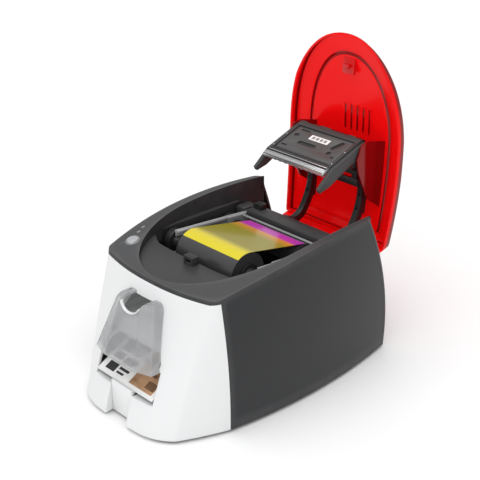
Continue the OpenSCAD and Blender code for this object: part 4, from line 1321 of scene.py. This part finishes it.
# --------------------------------------------------------------------------- feeder
@dataclass
class Feeder:
    """Smoky feeder door, the pile of blank cards behind it and the printed card in the tray."""

    shape: Shape = field(default_factory=Shape)
    low: float = 69.0
    top: float = 131.0
    front_low: float = -153.5
    front_high: float = -134.0
    edge: Place = (8.0, 5.0)
    wall: float = 2.0
    cards: int = 22
    card_t: float = 0.76
    card_l: float = 85.6
    card_w: float = 54.0
    card_r: float = 3.18
    plane: float = 79.4
    pile_y: float = -93.0
    scoop: Place = (15.0, 12.0)
    tray_edge: Point = (0.0, -147.0, 40.0)
    tray_rise: Place = (24.0, 12.8)
    marks: tuple[tuple[float, float, float, float, int], ...] = (
        (-37, -23, 4, 19, 1), (-20, -2, 14, 18, 1), (-20, -6, 9, 11, 1), (-20, -8, 5, 7, 1), (-37, -24, -8, 0, 1),
        (-21, -3, -9, -1, 1), (-36, -22, -23, -13, 1), (-19, -4, -17, -14, 1), (-19, -8, -22, -19.5, 1),
        (4, 40, -24, 22, 2), (8, 22, 3, 12, 3), (9, 20, -23, -15, 1), (25, 39, -20, -11, 3), (27, 36, 8, 17, 1),
        (14, 30, -6, -2, 3))
    liner_z: tuple[float, ...] = (83, 95, 107, 119, 126.5)
    liner_x: float = 45.2
    liner_back: float = -67.0
    liner_high: float = 104.0
    liner_t: float = 1.0

    def ring(self, z: float, d: float, t: float) -> Place:
        """Gives the door's plan outline.

        Args:
            z: Height.
            d: How far it is set in.
            t: Share from the middle of its front, 0, to the casing, 1.

        Returns:
            X and Y.
        """
        k = (z - self.low) / (self.top - self.low)
        y = lerp(self.front_low, self.front_high, k) + d
        a, b = lerp(24, 16, k) - 0.4 * d, lerp(45, 28, k) - d
        back = self.shape.face_at(z - self.shape.foot_h, b) - 0.5
        if t < 0.4:
            return a * t / 0.4, y
        if t < 0.7:
            s = (t - 0.4) / 0.3
            return lerp(a, b - 3, s), lerp(y, y + 6, s)
        if t < 0.8:
            s = (t - 0.7) / 0.1
            return b - 3 + 3 * math.sin(s * math.pi / 2), y + 6 + 3 * (1 - math.cos(s * math.pi / 2))
        return b, lerp(y + 9, max(back, y + 9.1), (t - 0.8) / 0.2)

    def scoop_ring(self, out: float, turns: Iterable[int]) -> list[Place]:
        """Returns X and Z of points round the finger scoop, set out by a distance, at angles in degrees."""
        a, b = self.scoop[0] + out, self.scoop[1] + out
        return [(a * math.cos(math.radians(w)), self.top + 1 + b * math.sin(math.radians(w))) for w in turns]

    def door(self) -> bpy.types.Object:
        """Makes the smoky door with its flat front, side facets, top and finger scoop.

        Returns:
            The door.
        """
        walls, edges, tops = 16, 4, 6
        rows = walls + edges + tops
        drop, inset = self.edge

        def place(u: float, v: float) -> Point:
            """Places a point of the wall, then of the rounded edge, then of the top.

            Args:
                u: Share across.
                v: Share up and back.

            Returns:
                The point.
            """
            side, t = halves(u)
            row = round(v * rows)
            if row <= walls:
                z, d = lerp(self.low, self.top - drop, row / walls), 0.0
            elif row <= walls + edges:
                s = (row - walls) / edges * math.pi / 2
                z, d = self.top - drop + drop * math.sin(s), inset * (1 - math.cos(s))
            else:
                z, d = self.top, inset
            x, y = self.ring(z, d, t)
            if row > walls + edges:
                face = self.shape.face_at(self.top - self.shape.foot_h, x) - 0.5
                y = lerp(y, max(face, y), (row - walls - edges) / tops)
            return side * x, y, z

        bm = bmesh.new()
        Bench.sheet(bm, 80, rows, place)
        bmesh.ops.remove_doubles(bm, verts=bm.verts, dist=0.00003)
        obj = Bench.object("feeder_door_smoky", bm, Finishes.SMOKE, outward=False)
        Bench.face_out(obj, (0, -1.0, 0.4))
        Bench.wall(obj, self.wall)
        tool = bmesh.new()
        Bench.slab_y(tool, self.scoop_ring(0.0, range(0, 360, 10)), -170, -60)
        Bench.cut(obj, tool)
        Bench.ease(obj, 0.5, 40, 3)
        return Bench.settle(obj, Body.FEEDER_DOOR, "smoky_clear", "feeder_cover")

    def bead(self) -> bpy.types.Object:
        """Makes the pale bead round the finger scoop, a painted highlight on its edge, leaning with the door's front.

        Returns:
            The bead.
        """
        lean = (self.front_high - self.front_low) / (self.top - self.low)
        turns = range(200, 341, 7)
        bm = bmesh.new()
        Bench.slab_y(bm, self.scoop_ring(1.1, turns) + self.scoop_ring(-0.3, reversed(turns)), -0.5, 2.4)
        for v in bm.verts:
            v.co.y += (self.front_high + lean * (v.co.z / MM - self.top)) * MM
        obj = Bench.ease(Bench.object("feeder_scoop_highlight_bead", bm, Finishes.SMOKE_HIGHLIGHT), 0.4, 40, 3)
        return Bench.settle(obj, Body.FEEDER_DOOR, "smoky_clear")

    def card(self, bm: bmesh.types.BMesh, centre: Point, spin: float = 0.0) -> list[bmesh.types.BMVert]:
        """Adds a card with round corners, lying flat.

        Args:
            bm: Mesh to add to.
            centre: Its centre, in millimetres.
            spin: How far it is turned about Z, in radians.

        Returns:
            The card's vertices.
        """
        size = Matrix.Diagonal((self.card_l * MM, self.card_w * MM, self.card_t * MM * 0.97, 1))
        made = bmesh.ops.create_cube(bm, size=1.0, matrix=size)["verts"]
        edges = list({e for v in made for e in v.link_edges if abs(e.verts[0].co.z - e.verts[1].co.z) > 1e-5})
        out = bmesh.ops.bevel(bm, geom=edges, offset=self.card_r * MM, segments=6, profile=0.5, affect="EDGES",
                              material=-1)
        verts = list({v for f in out["faces"] for v in f.verts} | {v for v in made if v.is_valid})
        bmesh.ops.rotate(bm, verts=verts, cent=(0, 0, 0), matrix=Matrix.Rotation(spin, 3, "Z"))
        bmesh.ops.translate(bm, verts=verts, vec=Vector(centre) * MM)
        return verts

    def pile(self) -> bpy.types.Object:
        """Makes the pile of blank cards, each a hair out of line with the next.

        Returns:
            The pile.
        """
        bm = bmesh.new()
        for i in range(self.cards):
            part = bmesh.new()
            off = 0.12 * math.sin(i * 2.3)
            at = (off, self.pile_y + 0.12 * math.cos(i * 1.7), self.plane + 0.05 + (i + 0.5) * self.card_t)
            self.card(part, at, 0.0006 * math.sin(i * 3.1))
            mesh = bpy.data.meshes.new("one_card")
            part.to_mesh(mesh)
            part.free()
            bm.from_mesh(mesh)
            bpy.data.meshes.remove(mesh)
        obj = Bench.object("blank_cards", bm, Finishes.CARD)
        Bench.shade(obj, 30)
        return Bench.settle(obj, Body.CASING, "card_pvc", "card_stack")

    def printed(self) -> bpy.types.Object:
        """Makes the printed card that leans in the tray, with plain bars and blocks of colour on it.

        Returns:
            The card.
        """
        bm = bmesh.new()
        self.card(bm, (0, 0, 0))
        for f in bm.faces:
            f.material_index = 0
        for x0, x1, y0, y1, kind in self.marks:
            top = self.card_t * 0.485
            part = Bench.box(bm, (x0, y0, top), (x1, y1, top + 0.012 + 0.008 * kind))
            for f in {f for v in part for f in v.link_faces}:
                f.material_index = kind
        a = math.atan2(self.tray_rise[1], self.tray_rise[0])
        along, over = Vector((0, math.cos(a), math.sin(a))), Vector((0, -math.sin(a), math.cos(a)))
        low = Vector(self.tray_edge) + along * (1 + self.card_w / 2) + over * (1.05 + self.card_t / 2)
        bmesh.ops.rotate(bm, verts=bm.verts, cent=(0, 0, 0), matrix=Matrix.Rotation(a, 3, "X"))
        bmesh.ops.translate(bm, verts=bm.verts, vec=low * MM)
        obj = Bench.object("printed_card_face", bm)
        for finish in (Finishes.CARD, Finishes.INK, Finishes.SUNSET, Finishes.BRONZE_INK):
            obj.data.materials.append(finish.make())
        Bench.shade(obj, 30)
        return Bench.settle(obj, Body.CARD_OUT, "card_pvc", "printed_card")

    def liner(self) -> bpy.types.Object:
        """Makes the white sides and ceiling inside the feeder window.

        Returns:
            The liner.
        """
        face = [(self.shape.face_y(z - self.shape.foot_h) + 5.0, z) for z in self.liner_z]
        bm = bmesh.new()
        half, back, low, high = self.liner_x, self.liner_back, self.liner_z[0], self.liner_high
        for x in (-half, half - self.liner_t):
            Bench.prism(bm, [*face, (back, high), (back, low)], x, x + self.liner_t)
        Bench.prism(bm, [face[-1], (back, high), (back, high + 1.2), (face[-1][0], face[-1][1] + 1.2)], -half, half)
        obj = Bench.ease(Bench.object("feeder_liner", bm, Finishes.WHITE), 0.2, 35, 2)
        return Bench.settle(obj, Body.CASING, "white_shell")

    def build(self) -> None:
        """Builds the door, its highlight bead, the liner, the pile and the printed card."""
        self.door()
        self.bead()
        self.liner()
        self.pile()
        self.printed()


# --------------------------------------------------------------------------- ribbon
@dataclass
class Ribbon:
    """Ribbon film between its two rolls, in the cassette's own axes, in millimetres."""

    supply: Place = (-14.5, 136.0)
    gap: float = 83.0
    tilt: float = 4.4
    roll_r: float = 23.5
    takeup_r: float = 14.0
    core_r: float = 8.0
    width: float = 88.0
    turns: int = 14
    groove: float = 0.25
    lift: float = 0.15
    wrap_deg: float = 44.0
    wrap_share: float = 0.3

    @property
    def takeup(self) -> Place:
        """Returns the take-up axis in Y and Z."""
        a = math.radians(self.tilt)
        return self.supply[0] + self.gap * math.cos(a), self.supply[1] - self.gap * math.sin(a)

    def roll(self, name: str, at: Place, radius: float, body: Body, node: str) -> bpy.types.Object:
        """Returns a wound roll whose ends show the edges of the windings.

        Args:
            name: Name of the piece.
            at: Axis in Y and Z.
            radius: Outer radius.
            body: Body that it turns with.
            node: CAD node that it stands for.

        Returns:
            The roll.
        """
        bm = bmesh.new()
        half = (self.width - 1) / 2
        profile = [(-half + (self.groove if i % 2 else 0.0), lerp(self.core_r, radius, i / self.turns))
                   for i in range(self.turns + 1)]
        profile += [(-x, r) for x, r in reversed(profile)]
        ring = [bm.verts.new(Vector((x, at[0], at[1] + r)) * MM) for x, r in profile]
        edges = [bm.edges.new((ring[i], ring[(i + 1) % len(ring)])) for i in range(len(ring))]
        bmesh.ops.spin(bm, geom=ring + edges, cent=Vector((0, at[0], at[1])) * MM, axis=(1, 0, 0), angle=2 * math.pi,
                       steps=96, use_merge=True)
        bmesh.ops.remove_doubles(bm, verts=bm.verts, dist=1e-6)
        obj = Bench.object(name, bm, Finishes.ROLL)
        Bench.shade(obj, 60)
        return Bench.settle(obj, body, "ribbon_roll", node)

    def film(self) -> bpy.types.Object:
        """Makes the film that leaves the supply roll over its top and runs to the take-up roll.

        Returns:
            The film.
        """
        a = math.radians(self.tilt)
        lean = math.acos((self.roll_r - self.takeup_r) / self.gap) - a
        top = Vector((0, math.cos(lean), math.sin(lean)))
        reach = self.roll_r + self.lift
        start = Vector((0, *self.supply)) + top * reach
        end = Vector((0, *self.takeup)) + top * (self.takeup_r + self.lift)

        def place(u: float, v: float) -> Point:
            """Places a point of the film.

            Args:
                u: Share across.
                v: Share along: on the supply roll, then on the straight run.

            Returns:
                The point.
            """
            x = lerp(-(self.width - 2) / 2, (self.width - 2) / 2, u)
            if v < self.wrap_share:
                t = lean + math.radians(self.wrap_deg) * (1 - v / self.wrap_share)
                return x, self.supply[0] + reach * math.cos(t), self.supply[1] + reach * math.sin(t)
            p = start.lerp(end, (v - self.wrap_share) / (1 - self.wrap_share))
            return x, p.y, p.z

        bm = bmesh.new()
        Bench.sheet(bm, 8, 40, place)
        obj = Bench.object("ribbon_film_dyed", bm, outward=False)
        obj.data.materials.append(DyedFilm().make())
        Bench.face_out(obj, (0, 0.0, 1.0))
        Bench.wall(obj, 0.12, 1.0)
        Bench.shade(obj, 40)
        return Bench.settle(obj, Body.CASSETTE, "ribbon_dye", "ribbon_film")

    def build(self) -> None:
        """Builds both rolls and the film."""
        self.roll("supply_windings", self.supply, self.roll_r, Body.SUPPLY, "supply_roll")
        self.roll("takeup_windings", self.takeup, self.takeup_r, Body.TAKEUP, "takeup_roll")
        self.film()


# --------------------------------------------------------------------------- head
@dataclass
class Head:
    """Dressing of the print head: strips, label and springs, in millimetres on the shut cover."""

    cover: Cover = field(default_factory=Cover)
    face_at: Place = (13.8, 134.3)
    face_lean: Place = (0.44, -0.898)
    strip_rows: tuple[Place, ...] = ((51.4, 52.6), (55.2, 56.8), (59.2, 61.0))
    strip_out: Place = (-2.5, -2.0)
    strip_x: float = 43.5
    strip_bed: tuple[Place, Place, Place] = ((50.3, 61.8), (-2.0, -1.92), (-44.6, 44.6))
    half_w: float = 45.6
    step: tuple[Point, Point] = ((-40.8, 3.6, 0.05), (40.8, 44.5, 1.25))
    bed: tuple[Point, Point] = ((-41.0, 3.2, -0.02), (41.0, 49.6, 0.12))
    slots: tuple[tuple[Place, Place, float], ...] = (
        ((-33, 7.4), (-22, 7.4), 1.1), ((-19, 27.5), (2, 27.5), 2.7), ((29, 10), (24.5, 20), 2.9),
        ((25.6, 29.5), (25.8, 29.5), 2.8), ((-33.5, 17.5), (-31.5, 17.5), 2.4), ((33, 34), (36, 34), 0.9),
        ((-37, 38), (-31, 38), 1.0))
    tabs: tuple[tuple[float, float, float, float, float], ...] = (
        (-16, -2, -7.4, -3.4, 1.8), (-44, -36, -6.4, -3.6, 2.1), (25, 35, -7.0, -3.4, 1.9))
    lips: tuple[Point, ...] = ((45.0, 46.6, 1.7), (47.6, 49.6, 1.9))
    ridge: tuple[Place, Place] = ((-4.6, 2.6), (-1.5, 2.6))
    rail: tuple[Place, Place] = ((2.4, 50.0), (-0.5, 2.4))
    rail_w: float = 4.0
    lip_x: float = 42.0
    stud_x: float = 43.6
    stud_rows: Place = (22.0, 44.0)
    label_at: tuple[Place, Place, Place] = ((11.0, 19.0), (-1.42, -1.22), (-14.0, 14.0))
    squares: int = 4
    square_s: Place = (12.8, 17.2)
    square_out: Place = (-1.5, -1.4)
    square_x: float = -10.6
    square_w: float = 3.8
    square_pitch: float = 5.8
    spring_at: Point = (20.0, 22.0, 145.1)
    spring_turns: float = 3.5
    spring_r: float = 3.2
    spring_h: float = 4.4
    wire_r: float = 0.5

    def on_face(self, s: float, t: float) -> Place:
        """Returns Y and Z of a point s down the face and t behind it.

        Args:
            s: Distance down the face.
            t: Distance behind the face.

        Returns:
            Y and Z with the cover shut.
        """
        n = math.hypot(*self.face_lean)
        dy, dz = self.face_lean[0] / n, self.face_lean[1] / n
        return self.face_at[0] + s * dy + t * -dz, self.face_at[1] + s * dz + t * dy

    def plate(self, bm: bmesh.types.BMesh, s: Place, t: Place, x: Place) -> None:
        """Adds a slab on the face between two places down it, two depths and two sides."""
        corners = ((s[0], t[0]), (s[1], t[0]), (s[1], t[1]), (s[0], t[1]))
        Bench.prism(bm, [self.on_face(*q) for q in corners], *x)

    def strips(self) -> bpy.types.Object:
        """Makes the bright strips across the foot of the head, over their dark ground.

        Returns:
            The strips.
        """
        bm = bmesh.new()
        for s in self.strip_rows:
            self.plate(bm, s, self.strip_out, (-self.strip_x, self.strip_x))
        ground = set(bm.faces)
        self.plate(bm, *self.strip_bed)
        for f in bm.faces:
            f.material_index = f not in ground
        self.cover.swing(bm)
        obj = Bench.object("head_strips", bm, Finishes.SHAFT)
        obj.data.materials.append(Finishes.BLACK.make())
        return Bench.settle(Bench.ease(obj, 0.08, 30, 2), Body.HEAD, "shaft_steel")

    def to_face(self, bm: bmesh.types.BMesh) -> None:
        """Moves a mesh drawn flat onto the face of the open head.

        Args:
            bm: The mesh: X across, Y down the face and Z out of it.
        """
        for v in bm.verts:
            x, s, out = v.co / MM
            v.co = Vector((x, *self.on_face(s, -out))) * MM
        self.cover.swing(bm)

    def stadium(self, bm: bmesh.types.BMesh, a: Place, b: Place, r: float) -> None:
        """Adds a cutter with round ends.

        Args:
            bm: Mesh to add to.
            a: Centre of one end on the flat face.
            b: Centre of the other end.
            r: Radius of the ends.
        """
        turn = math.atan2(b[1] - a[1], b[0] - a[0]) - math.pi / 2
        ring = [(c[0] + r * math.cos(turn + w + k * math.pi / 9), c[1] + r * math.sin(turn + w + k * math.pi / 9))
                for c, w in ((b, 0.0), (a, math.pi)) for k in range(10)]
        Bench.slab(bm, ring, -5, 5)

    def stepped(self) -> bpy.types.Object:
        """Makes the stepped plate on the face with its slots, drawn flat.

        Returns:
            The plate.
        """
        plate, tool = bmesh.new(), bmesh.new()
        Bench.box(plate, *self.step)
        obj = Bench.object("head_plate", plate, Finishes.HEAD)
        for a, b, r in self.slots:
            self.stadium(tool, a, b, r)
        Bench.cut(obj, tool)
        return Bench.ease(obj, 0.3, 40, 2)

    def ground(self) -> bpy.types.Object:
        """Makes the dark ground that shows through the slots, drawn flat.

        Returns:
            The ground.
        """
        bm = bmesh.new()
        Bench.box(bm, *self.bed)
        return Bench.ease(Bench.object("head_ground", bm, Finishes.BLACK), 0.02, 40, 1)

    def trim(self) -> bpy.types.Object:
        """Makes the ridge, its tabs, the side rails and the lips around the plate, drawn flat.

        Returns:
            All of them as one piece.
        """
        w = self.half_w
        bm = bmesh.new()
        (s0, s1), (low, high) = self.ridge
        Bench.box(bm, (-w, s0, low), (w, s1, high))
        for x0, x1, a, b, top in self.tabs:
            Bench.box(bm, (x0, a, low), (x1, b, top))
        (s0, s1), (low, high) = self.rail
        for x0 in (-w, w - self.rail_w):
            Bench.box(bm, (x0, s0, low), (x0 + self.rail_w, s1, high))
        for a, b, top in self.lips:
            Bench.box(bm, (-self.lip_x, a, 0.0), (self.lip_x, b, top))
        return Bench.ease(Bench.object("head_trim", bm, Finishes.DECK), 0.45, 40, 3)

    def studs(self) -> bpy.types.Object:
        """Makes the four bright studs on the side rails, drawn flat.

        Returns:
            The studs as one piece.
        """
        bm = bmesh.new()
        for x in (self.stud_x, -self.stud_x):
            for s in self.stud_rows:
                Bench.disc(bm, (x, s, 2.5), 1.0, 0.9, "Z", 24, 0.8)
        return Bench.ease(Bench.object("head_studs", bm, Finishes.SHAFT), 0.15, 40, 2)

    def dressing(self) -> None:
        """Makes the plate, its ground, the trim and the studs, and lays them on the face."""
        def lay(bm: bmesh.types.BMesh) -> None:
            """Moves a flat piece onto the face; that mirrors it, so its faces are turned over."""
            self.to_face(bm)
            bmesh.ops.reverse_faces(bm, faces=bm.faces)

        for piece in (self.stepped(), self.ground(), self.trim(), self.studs()):
            Bench.edit(piece, lay)
            Bench.settle(piece, Body.HEAD, "shaft_steel" if piece.name == "head_studs" else "grey_deck")

    def label(self) -> bpy.types.Object:
        """Makes the small white label with plain grey squares.

        Returns:
            The label.
        """
        bm = bmesh.new()
        self.plate(bm, *self.label_at)
        for f in bm.faces:
            f.material_index = 0
        for i in range(self.squares):
            before = set(bm.faces)
            x = self.square_x + i * self.square_pitch
            self.plate(bm, self.square_s, self.square_out, (x, x + self.square_w))
            for f in set(bm.faces) - before:
                f.material_index = 1
        self.cover.swing(bm)
        obj = Bench.object("head_label", bm)
        obj.data.materials.append(Finishes.CARD.make())
        obj.data.materials.append(Finishes.GREY.make())
        return Bench.settle(obj, Body.HEAD, "card_pvc")

    def springs(self) -> bpy.types.Object:
        """Makes the two coil springs that push the head down.

        Returns:
            Both springs as one piece.
        """
        bm = bmesh.new()
        steps = int(self.spring_turns * 20)
        for side in (-1, 1):
            at = Vector((side * self.spring_at[0], *self.spring_at[1:])) * MM
            place = Matrix.Translation(at + Vector((self.spring_r * MM, 0, 0))) @ Matrix.Rotation(math.pi / 2, 4, "X")
            ring = bmesh.ops.create_circle(bm, segments=10, radius=self.wire_r * MM, matrix=place)["verts"]
            edges = list({e for v in ring for e in v.link_edges})
            bmesh.ops.spin(bm, geom=ring + edges, cent=at, axis=(0, 0, 1), dvec=(0, 0, self.spring_h * MM / steps),
                           angle=self.spring_turns * 2 * math.pi, steps=steps)
        bmesh.ops.holes_fill(bm, edges=[e for e in bm.edges if e.is_boundary], sides=12)
        self.cover.swing(bm)
        obj = Bench.object("head_coils", bm, Finishes.SHAFT)
        Bench.shade(obj, 50)
        return Bench.settle(obj, Body.COVER, "shaft_steel", "head_springs")

    def build(self) -> None:
        """Builds the strips, the dressing, the label and the springs."""
        self.strips()
        self.dressing()
        self.label()
        self.springs()


# --------------------------------------------------------------------------- trim
@dataclass
class Trim:
    """Small pieces on the cassette and on the rim, in millimetres."""

    shape: Shape = field(default_factory=Shape)
    supply: Place = (-14.5, 136.0)
    tilt: float = 4.4
    plate_x: float = 65.0
    hub_x: float = 75.0
    gap: float = 83.0
    rail: tuple[Place, ...] = ((-6, 15.3), (-6, 12.9), (106, 12.9), (106, 15.3))
    ribs: tuple[tuple[Place, ...], ...] = (((32, 12.9), (34.4, 12.9), (50.9, -30.5), (49, -31)),
                                           ((80, 12.9), (77.6, 12.9), (69.1, -30.5), (71, -31)),
                                           ((49.4, -31), (49.4, -29), (70.6, -29), (70.6, -31)))
    rings: tuple[Place, ...] = ((0.9, 14.3), (3.6, 14.5), (6.3, 14.5))
    ring_w: float = 1.3
    lights: tuple[Place, ...] = ((-80.5, -58.0), (-84.0, -49.0))
    light_size: Place = (2.4, 4.2)

    def on_plate(self, a: float, b: float) -> Place:
        """Returns Y and Z of a point a along the cassette from the supply spool and b above its line."""
        c, s = math.cos(math.radians(self.tilt)), math.sin(math.radians(self.tilt))
        return self.supply[0] + a * c + b * s, self.supply[1] - a * s + b * c

    def rails(self) -> bpy.types.Object:
        """Makes the pale rails along the tops of the cassette's two end plates, and their ribs.

        Returns:
            Both sides as one piece.
        """
        bm = bmesh.new()
        for side in (-1, 1):
            def block(points: Sequence[Place], x0: float, x1: float, side: int = side) -> None:
                """Adds a bar drawn in the cassette's own lines, between two distances from the middle."""
                Bench.prism(bm, [self.on_plate(*q) for q in points], *sorted((side * x0, side * x1)))

            block(self.rail, self.plate_x - 2.9, self.plate_x + 1.5)
            for rib in self.ribs:
                block(rib, self.plate_x - 0.2, self.plate_x + 1.3)
        obj = Bench.ease(Bench.object("cassette_rails", bm, Finishes.RAIL), 0.35, 35, 3)
        return Bench.settle(obj, Body.CASSETTE, "pale_grey")

    def hubs(self, name: str, at: Place, body: Body) -> bpy.types.Object:
        """Makes the ribbed rings round both hubs of a spool.

        Args:
            name: Name of the piece.
            at: Axis in Y and Z.
            body: Body that they turn with.

        Returns:
            The rings as one piece.
        """
        bm = bmesh.new()
        for side in (-1, 1):
            for inset, radius in self.rings:
                centre = Vector((side * (self.hub_x - inset - self.ring_w / 2), *at)) * MM
                place = Matrix.Translation(centre) @ Matrix.Rotation(math.pi / 2, 4, "Y")
                ring = bmesh.ops.create_circle(bm, segments=56, radius=radius * MM, matrix=place)["verts"]
                loop = list({e for v in ring for e in v.link_edges})
                wide = bmesh.ops.extrude_edge_only(bm, edges=loop)["geom"]
                bmesh.ops.translate(bm, verts=[g for g in wide if isinstance(g, bmesh.types.BMVert)],
                                    vec=Vector((side * self.ring_w, 0, 0)) * MM)
        obj = Bench.object(name, bm, Finishes.BLACK)
        Bench.wall(obj, 1.5)
        return Bench.settle(Bench.ease(obj, 0.3, 35, 2), body, "black_plastic")

    def marks(self) -> bpy.types.Object:
        """Makes the two small status lights beside the button.

        Returns:
            Both lights as one piece.
        """
        bm = bmesh.new()
        for x, y in self.lights:
            def place(u: float, v: float, x: float = x, y: float = y) -> Point:
                """Returns a point just over the rim."""
                px, py = x + self.light_size[0] * (u - 0.5), y + self.light_size[1] * (v - 0.5)
                return px, py, self.shape.rim_z(py) + 0.16

            Bench.sheet(bm, 3, 4, place)
        obj = Bench.object("status_lights", bm, Finishes.GREY, outward=False)
        Bench.face_out(obj, (0, 0, 3.0))
        Bench.wall(obj, 0.5)
        return Bench.settle(Bench.ease(obj, 0.1, 35, 2), Body.CASING, "grey_plastic")

    def build(self) -> None:
        """Builds the rails, the hub rings and the lights."""
        self.rails()
        self.hubs("supply_hub_rings", self.supply, Body.SUPPLY)
        self.hubs("takeup_hub_rings", self.on_plate(self.gap, 0.0), Body.TAKEUP)
        self.marks()


# --------------------------------------------------------------------------- carried over nodes
@dataclass
class CarriedOver:
    """CAD nodes that keep their own mesh, with eased edges and a finish each."""

    width: float = 0.25
    widths: dict[str, float] = field(default_factory=lambda: {"bay_frame": 0.5, "rear_beam": 0.4, "hinge_frame": 0.6})
    # Heights under which a node's faces take black: painted shade deep in the bay.
    painted_shade_below: dict[str, float] = field(default_factory=lambda: {"bay_frame": 139.5, "rear_beam": 119.5})
    hidden: tuple[str, ...] = (
        "path_frame_left", "path_frame_right", "roller_bushes", "card_guide", "platen_shaft", "platen_gear",
        "feed_shaft", "feed_gear", "pick_shaft", "pick_gear", "front_idler", "rear_idler", "motor_pinion", "motor",
        "main_board", "casing_screws", "feed_rubber", "pick_rubber")
    groups: tuple[tuple[Finish, tuple[str, ...]], ...] = (
        (Finishes.BLACK, ("base_plate", "ribbon_sensor", "power_inlet", "hinge_frame", "supply_spool", "takeup_spool")),
        (Finishes.RUBBER, ("rubber_feet",)),
        (Finishes.DARK, ("latch_catch",)),
        (Finishes.DECK, ("bay_frame", "rear_beam", "head_carriage")),
        (Finishes.SHAFT, ("hinge_pins", "platen_shaft", "feed_shaft", "pick_shaft", "head_pins")),
        (Finishes.ZINC, ("path_frame_left", "path_frame_right", "card_guide", "motor", "usb_socket", "casing_screws")),
        (Finishes.GREY, ("button_bezel",)),
        (Finishes.SILVER, ("power_button",)),
        (Finishes.BRONZE, ("roller_bushes", "motor_pinion")),
        (Finishes.WHITE, ("card_hopper", "output_tray")),
        (Finishes.ROLLER, ("platen_rubber", "feed_rubber", "pick_rubber")),
        (Finishes.NYLON, ("platen_gear", "feed_gear", "pick_gear", "front_idler", "rear_idler")),
        (Finishes.BOARD, ("main_board",)),
        (Finishes.RED_DEEP, ("cover_hook",)),
        (Finishes.ALU, ("print_head",)),
        (Finishes.PALE, ("cassette_plate_left", "cassette_plate_right", "cassette_ties")))

    def dress(self, frame: dict, done: Sequence[str] = ()) -> None:
        """Gives each node its finish, and each node in sight a merged copy with eased edges that stands for it.

        Args:
            frame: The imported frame.
            done: Nodes that another piece stands for.
        """
        bodies = {n: body for body, group in frame["record"]["behaviour"]["bodies"].items() for n in group}
        finishes = {name: finish for finish, names in self.groups for name in names}
        for name, node in frame["nodes"].items():
            if name in done:
                continue
            finish = finishes[name]
            if name in self.hidden:
                node.data.materials.clear()
                node.data.materials.append(finish.make())
                LOG.info("kept %s", name)
                continue
            bm = bmesh.new()
            bm.from_mesh(node.data)
            bmesh.ops.remove_doubles(bm, verts=bm.verts, dist=2e-6)
            bmesh.ops.dissolve_limit(bm, angle_limit=math.radians(1.2), verts=bm.verts, edges=bm.edges)
            # Faces below the height take black: painted shade in the bay's recess.
            floor = self.painted_shade_below.get(name, 0.0) * MM
            for f in bm.faces:
                f.material_index = int(f.calc_center_median().z < floor)
            obj = Bench.object(name + "_eased", bm, finish, outward=False)
            if name in self.painted_shade_below:
                obj.data.materials.append(Finishes.BLACK.make())
            Bench.ease(obj, self.widths.get(name, self.width), 38, 2)
            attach(obj, bodies[name])
            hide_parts(name)
            LOG.info("eased %s", name)


def main() -> None:
    """Builds the printer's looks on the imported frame."""
    logging.basicConfig(level=logging.INFO, format="%(message)s")
    studio = Studio()
    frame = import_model()
    studio.build()
    Shells().build()
    Cover().build()
    Feeder().build()
    Ribbon().build()
    Head().build()
    Trim().build()
    CarriedOver().dress(frame, ("front_panel", "housing", "cover_shell", "feeder_cover", "card_stack", "printed_card",
                                "supply_roll", "takeup_roll", "ribbon_film", "head_springs"))


if __name__ == "__main__":
    main()
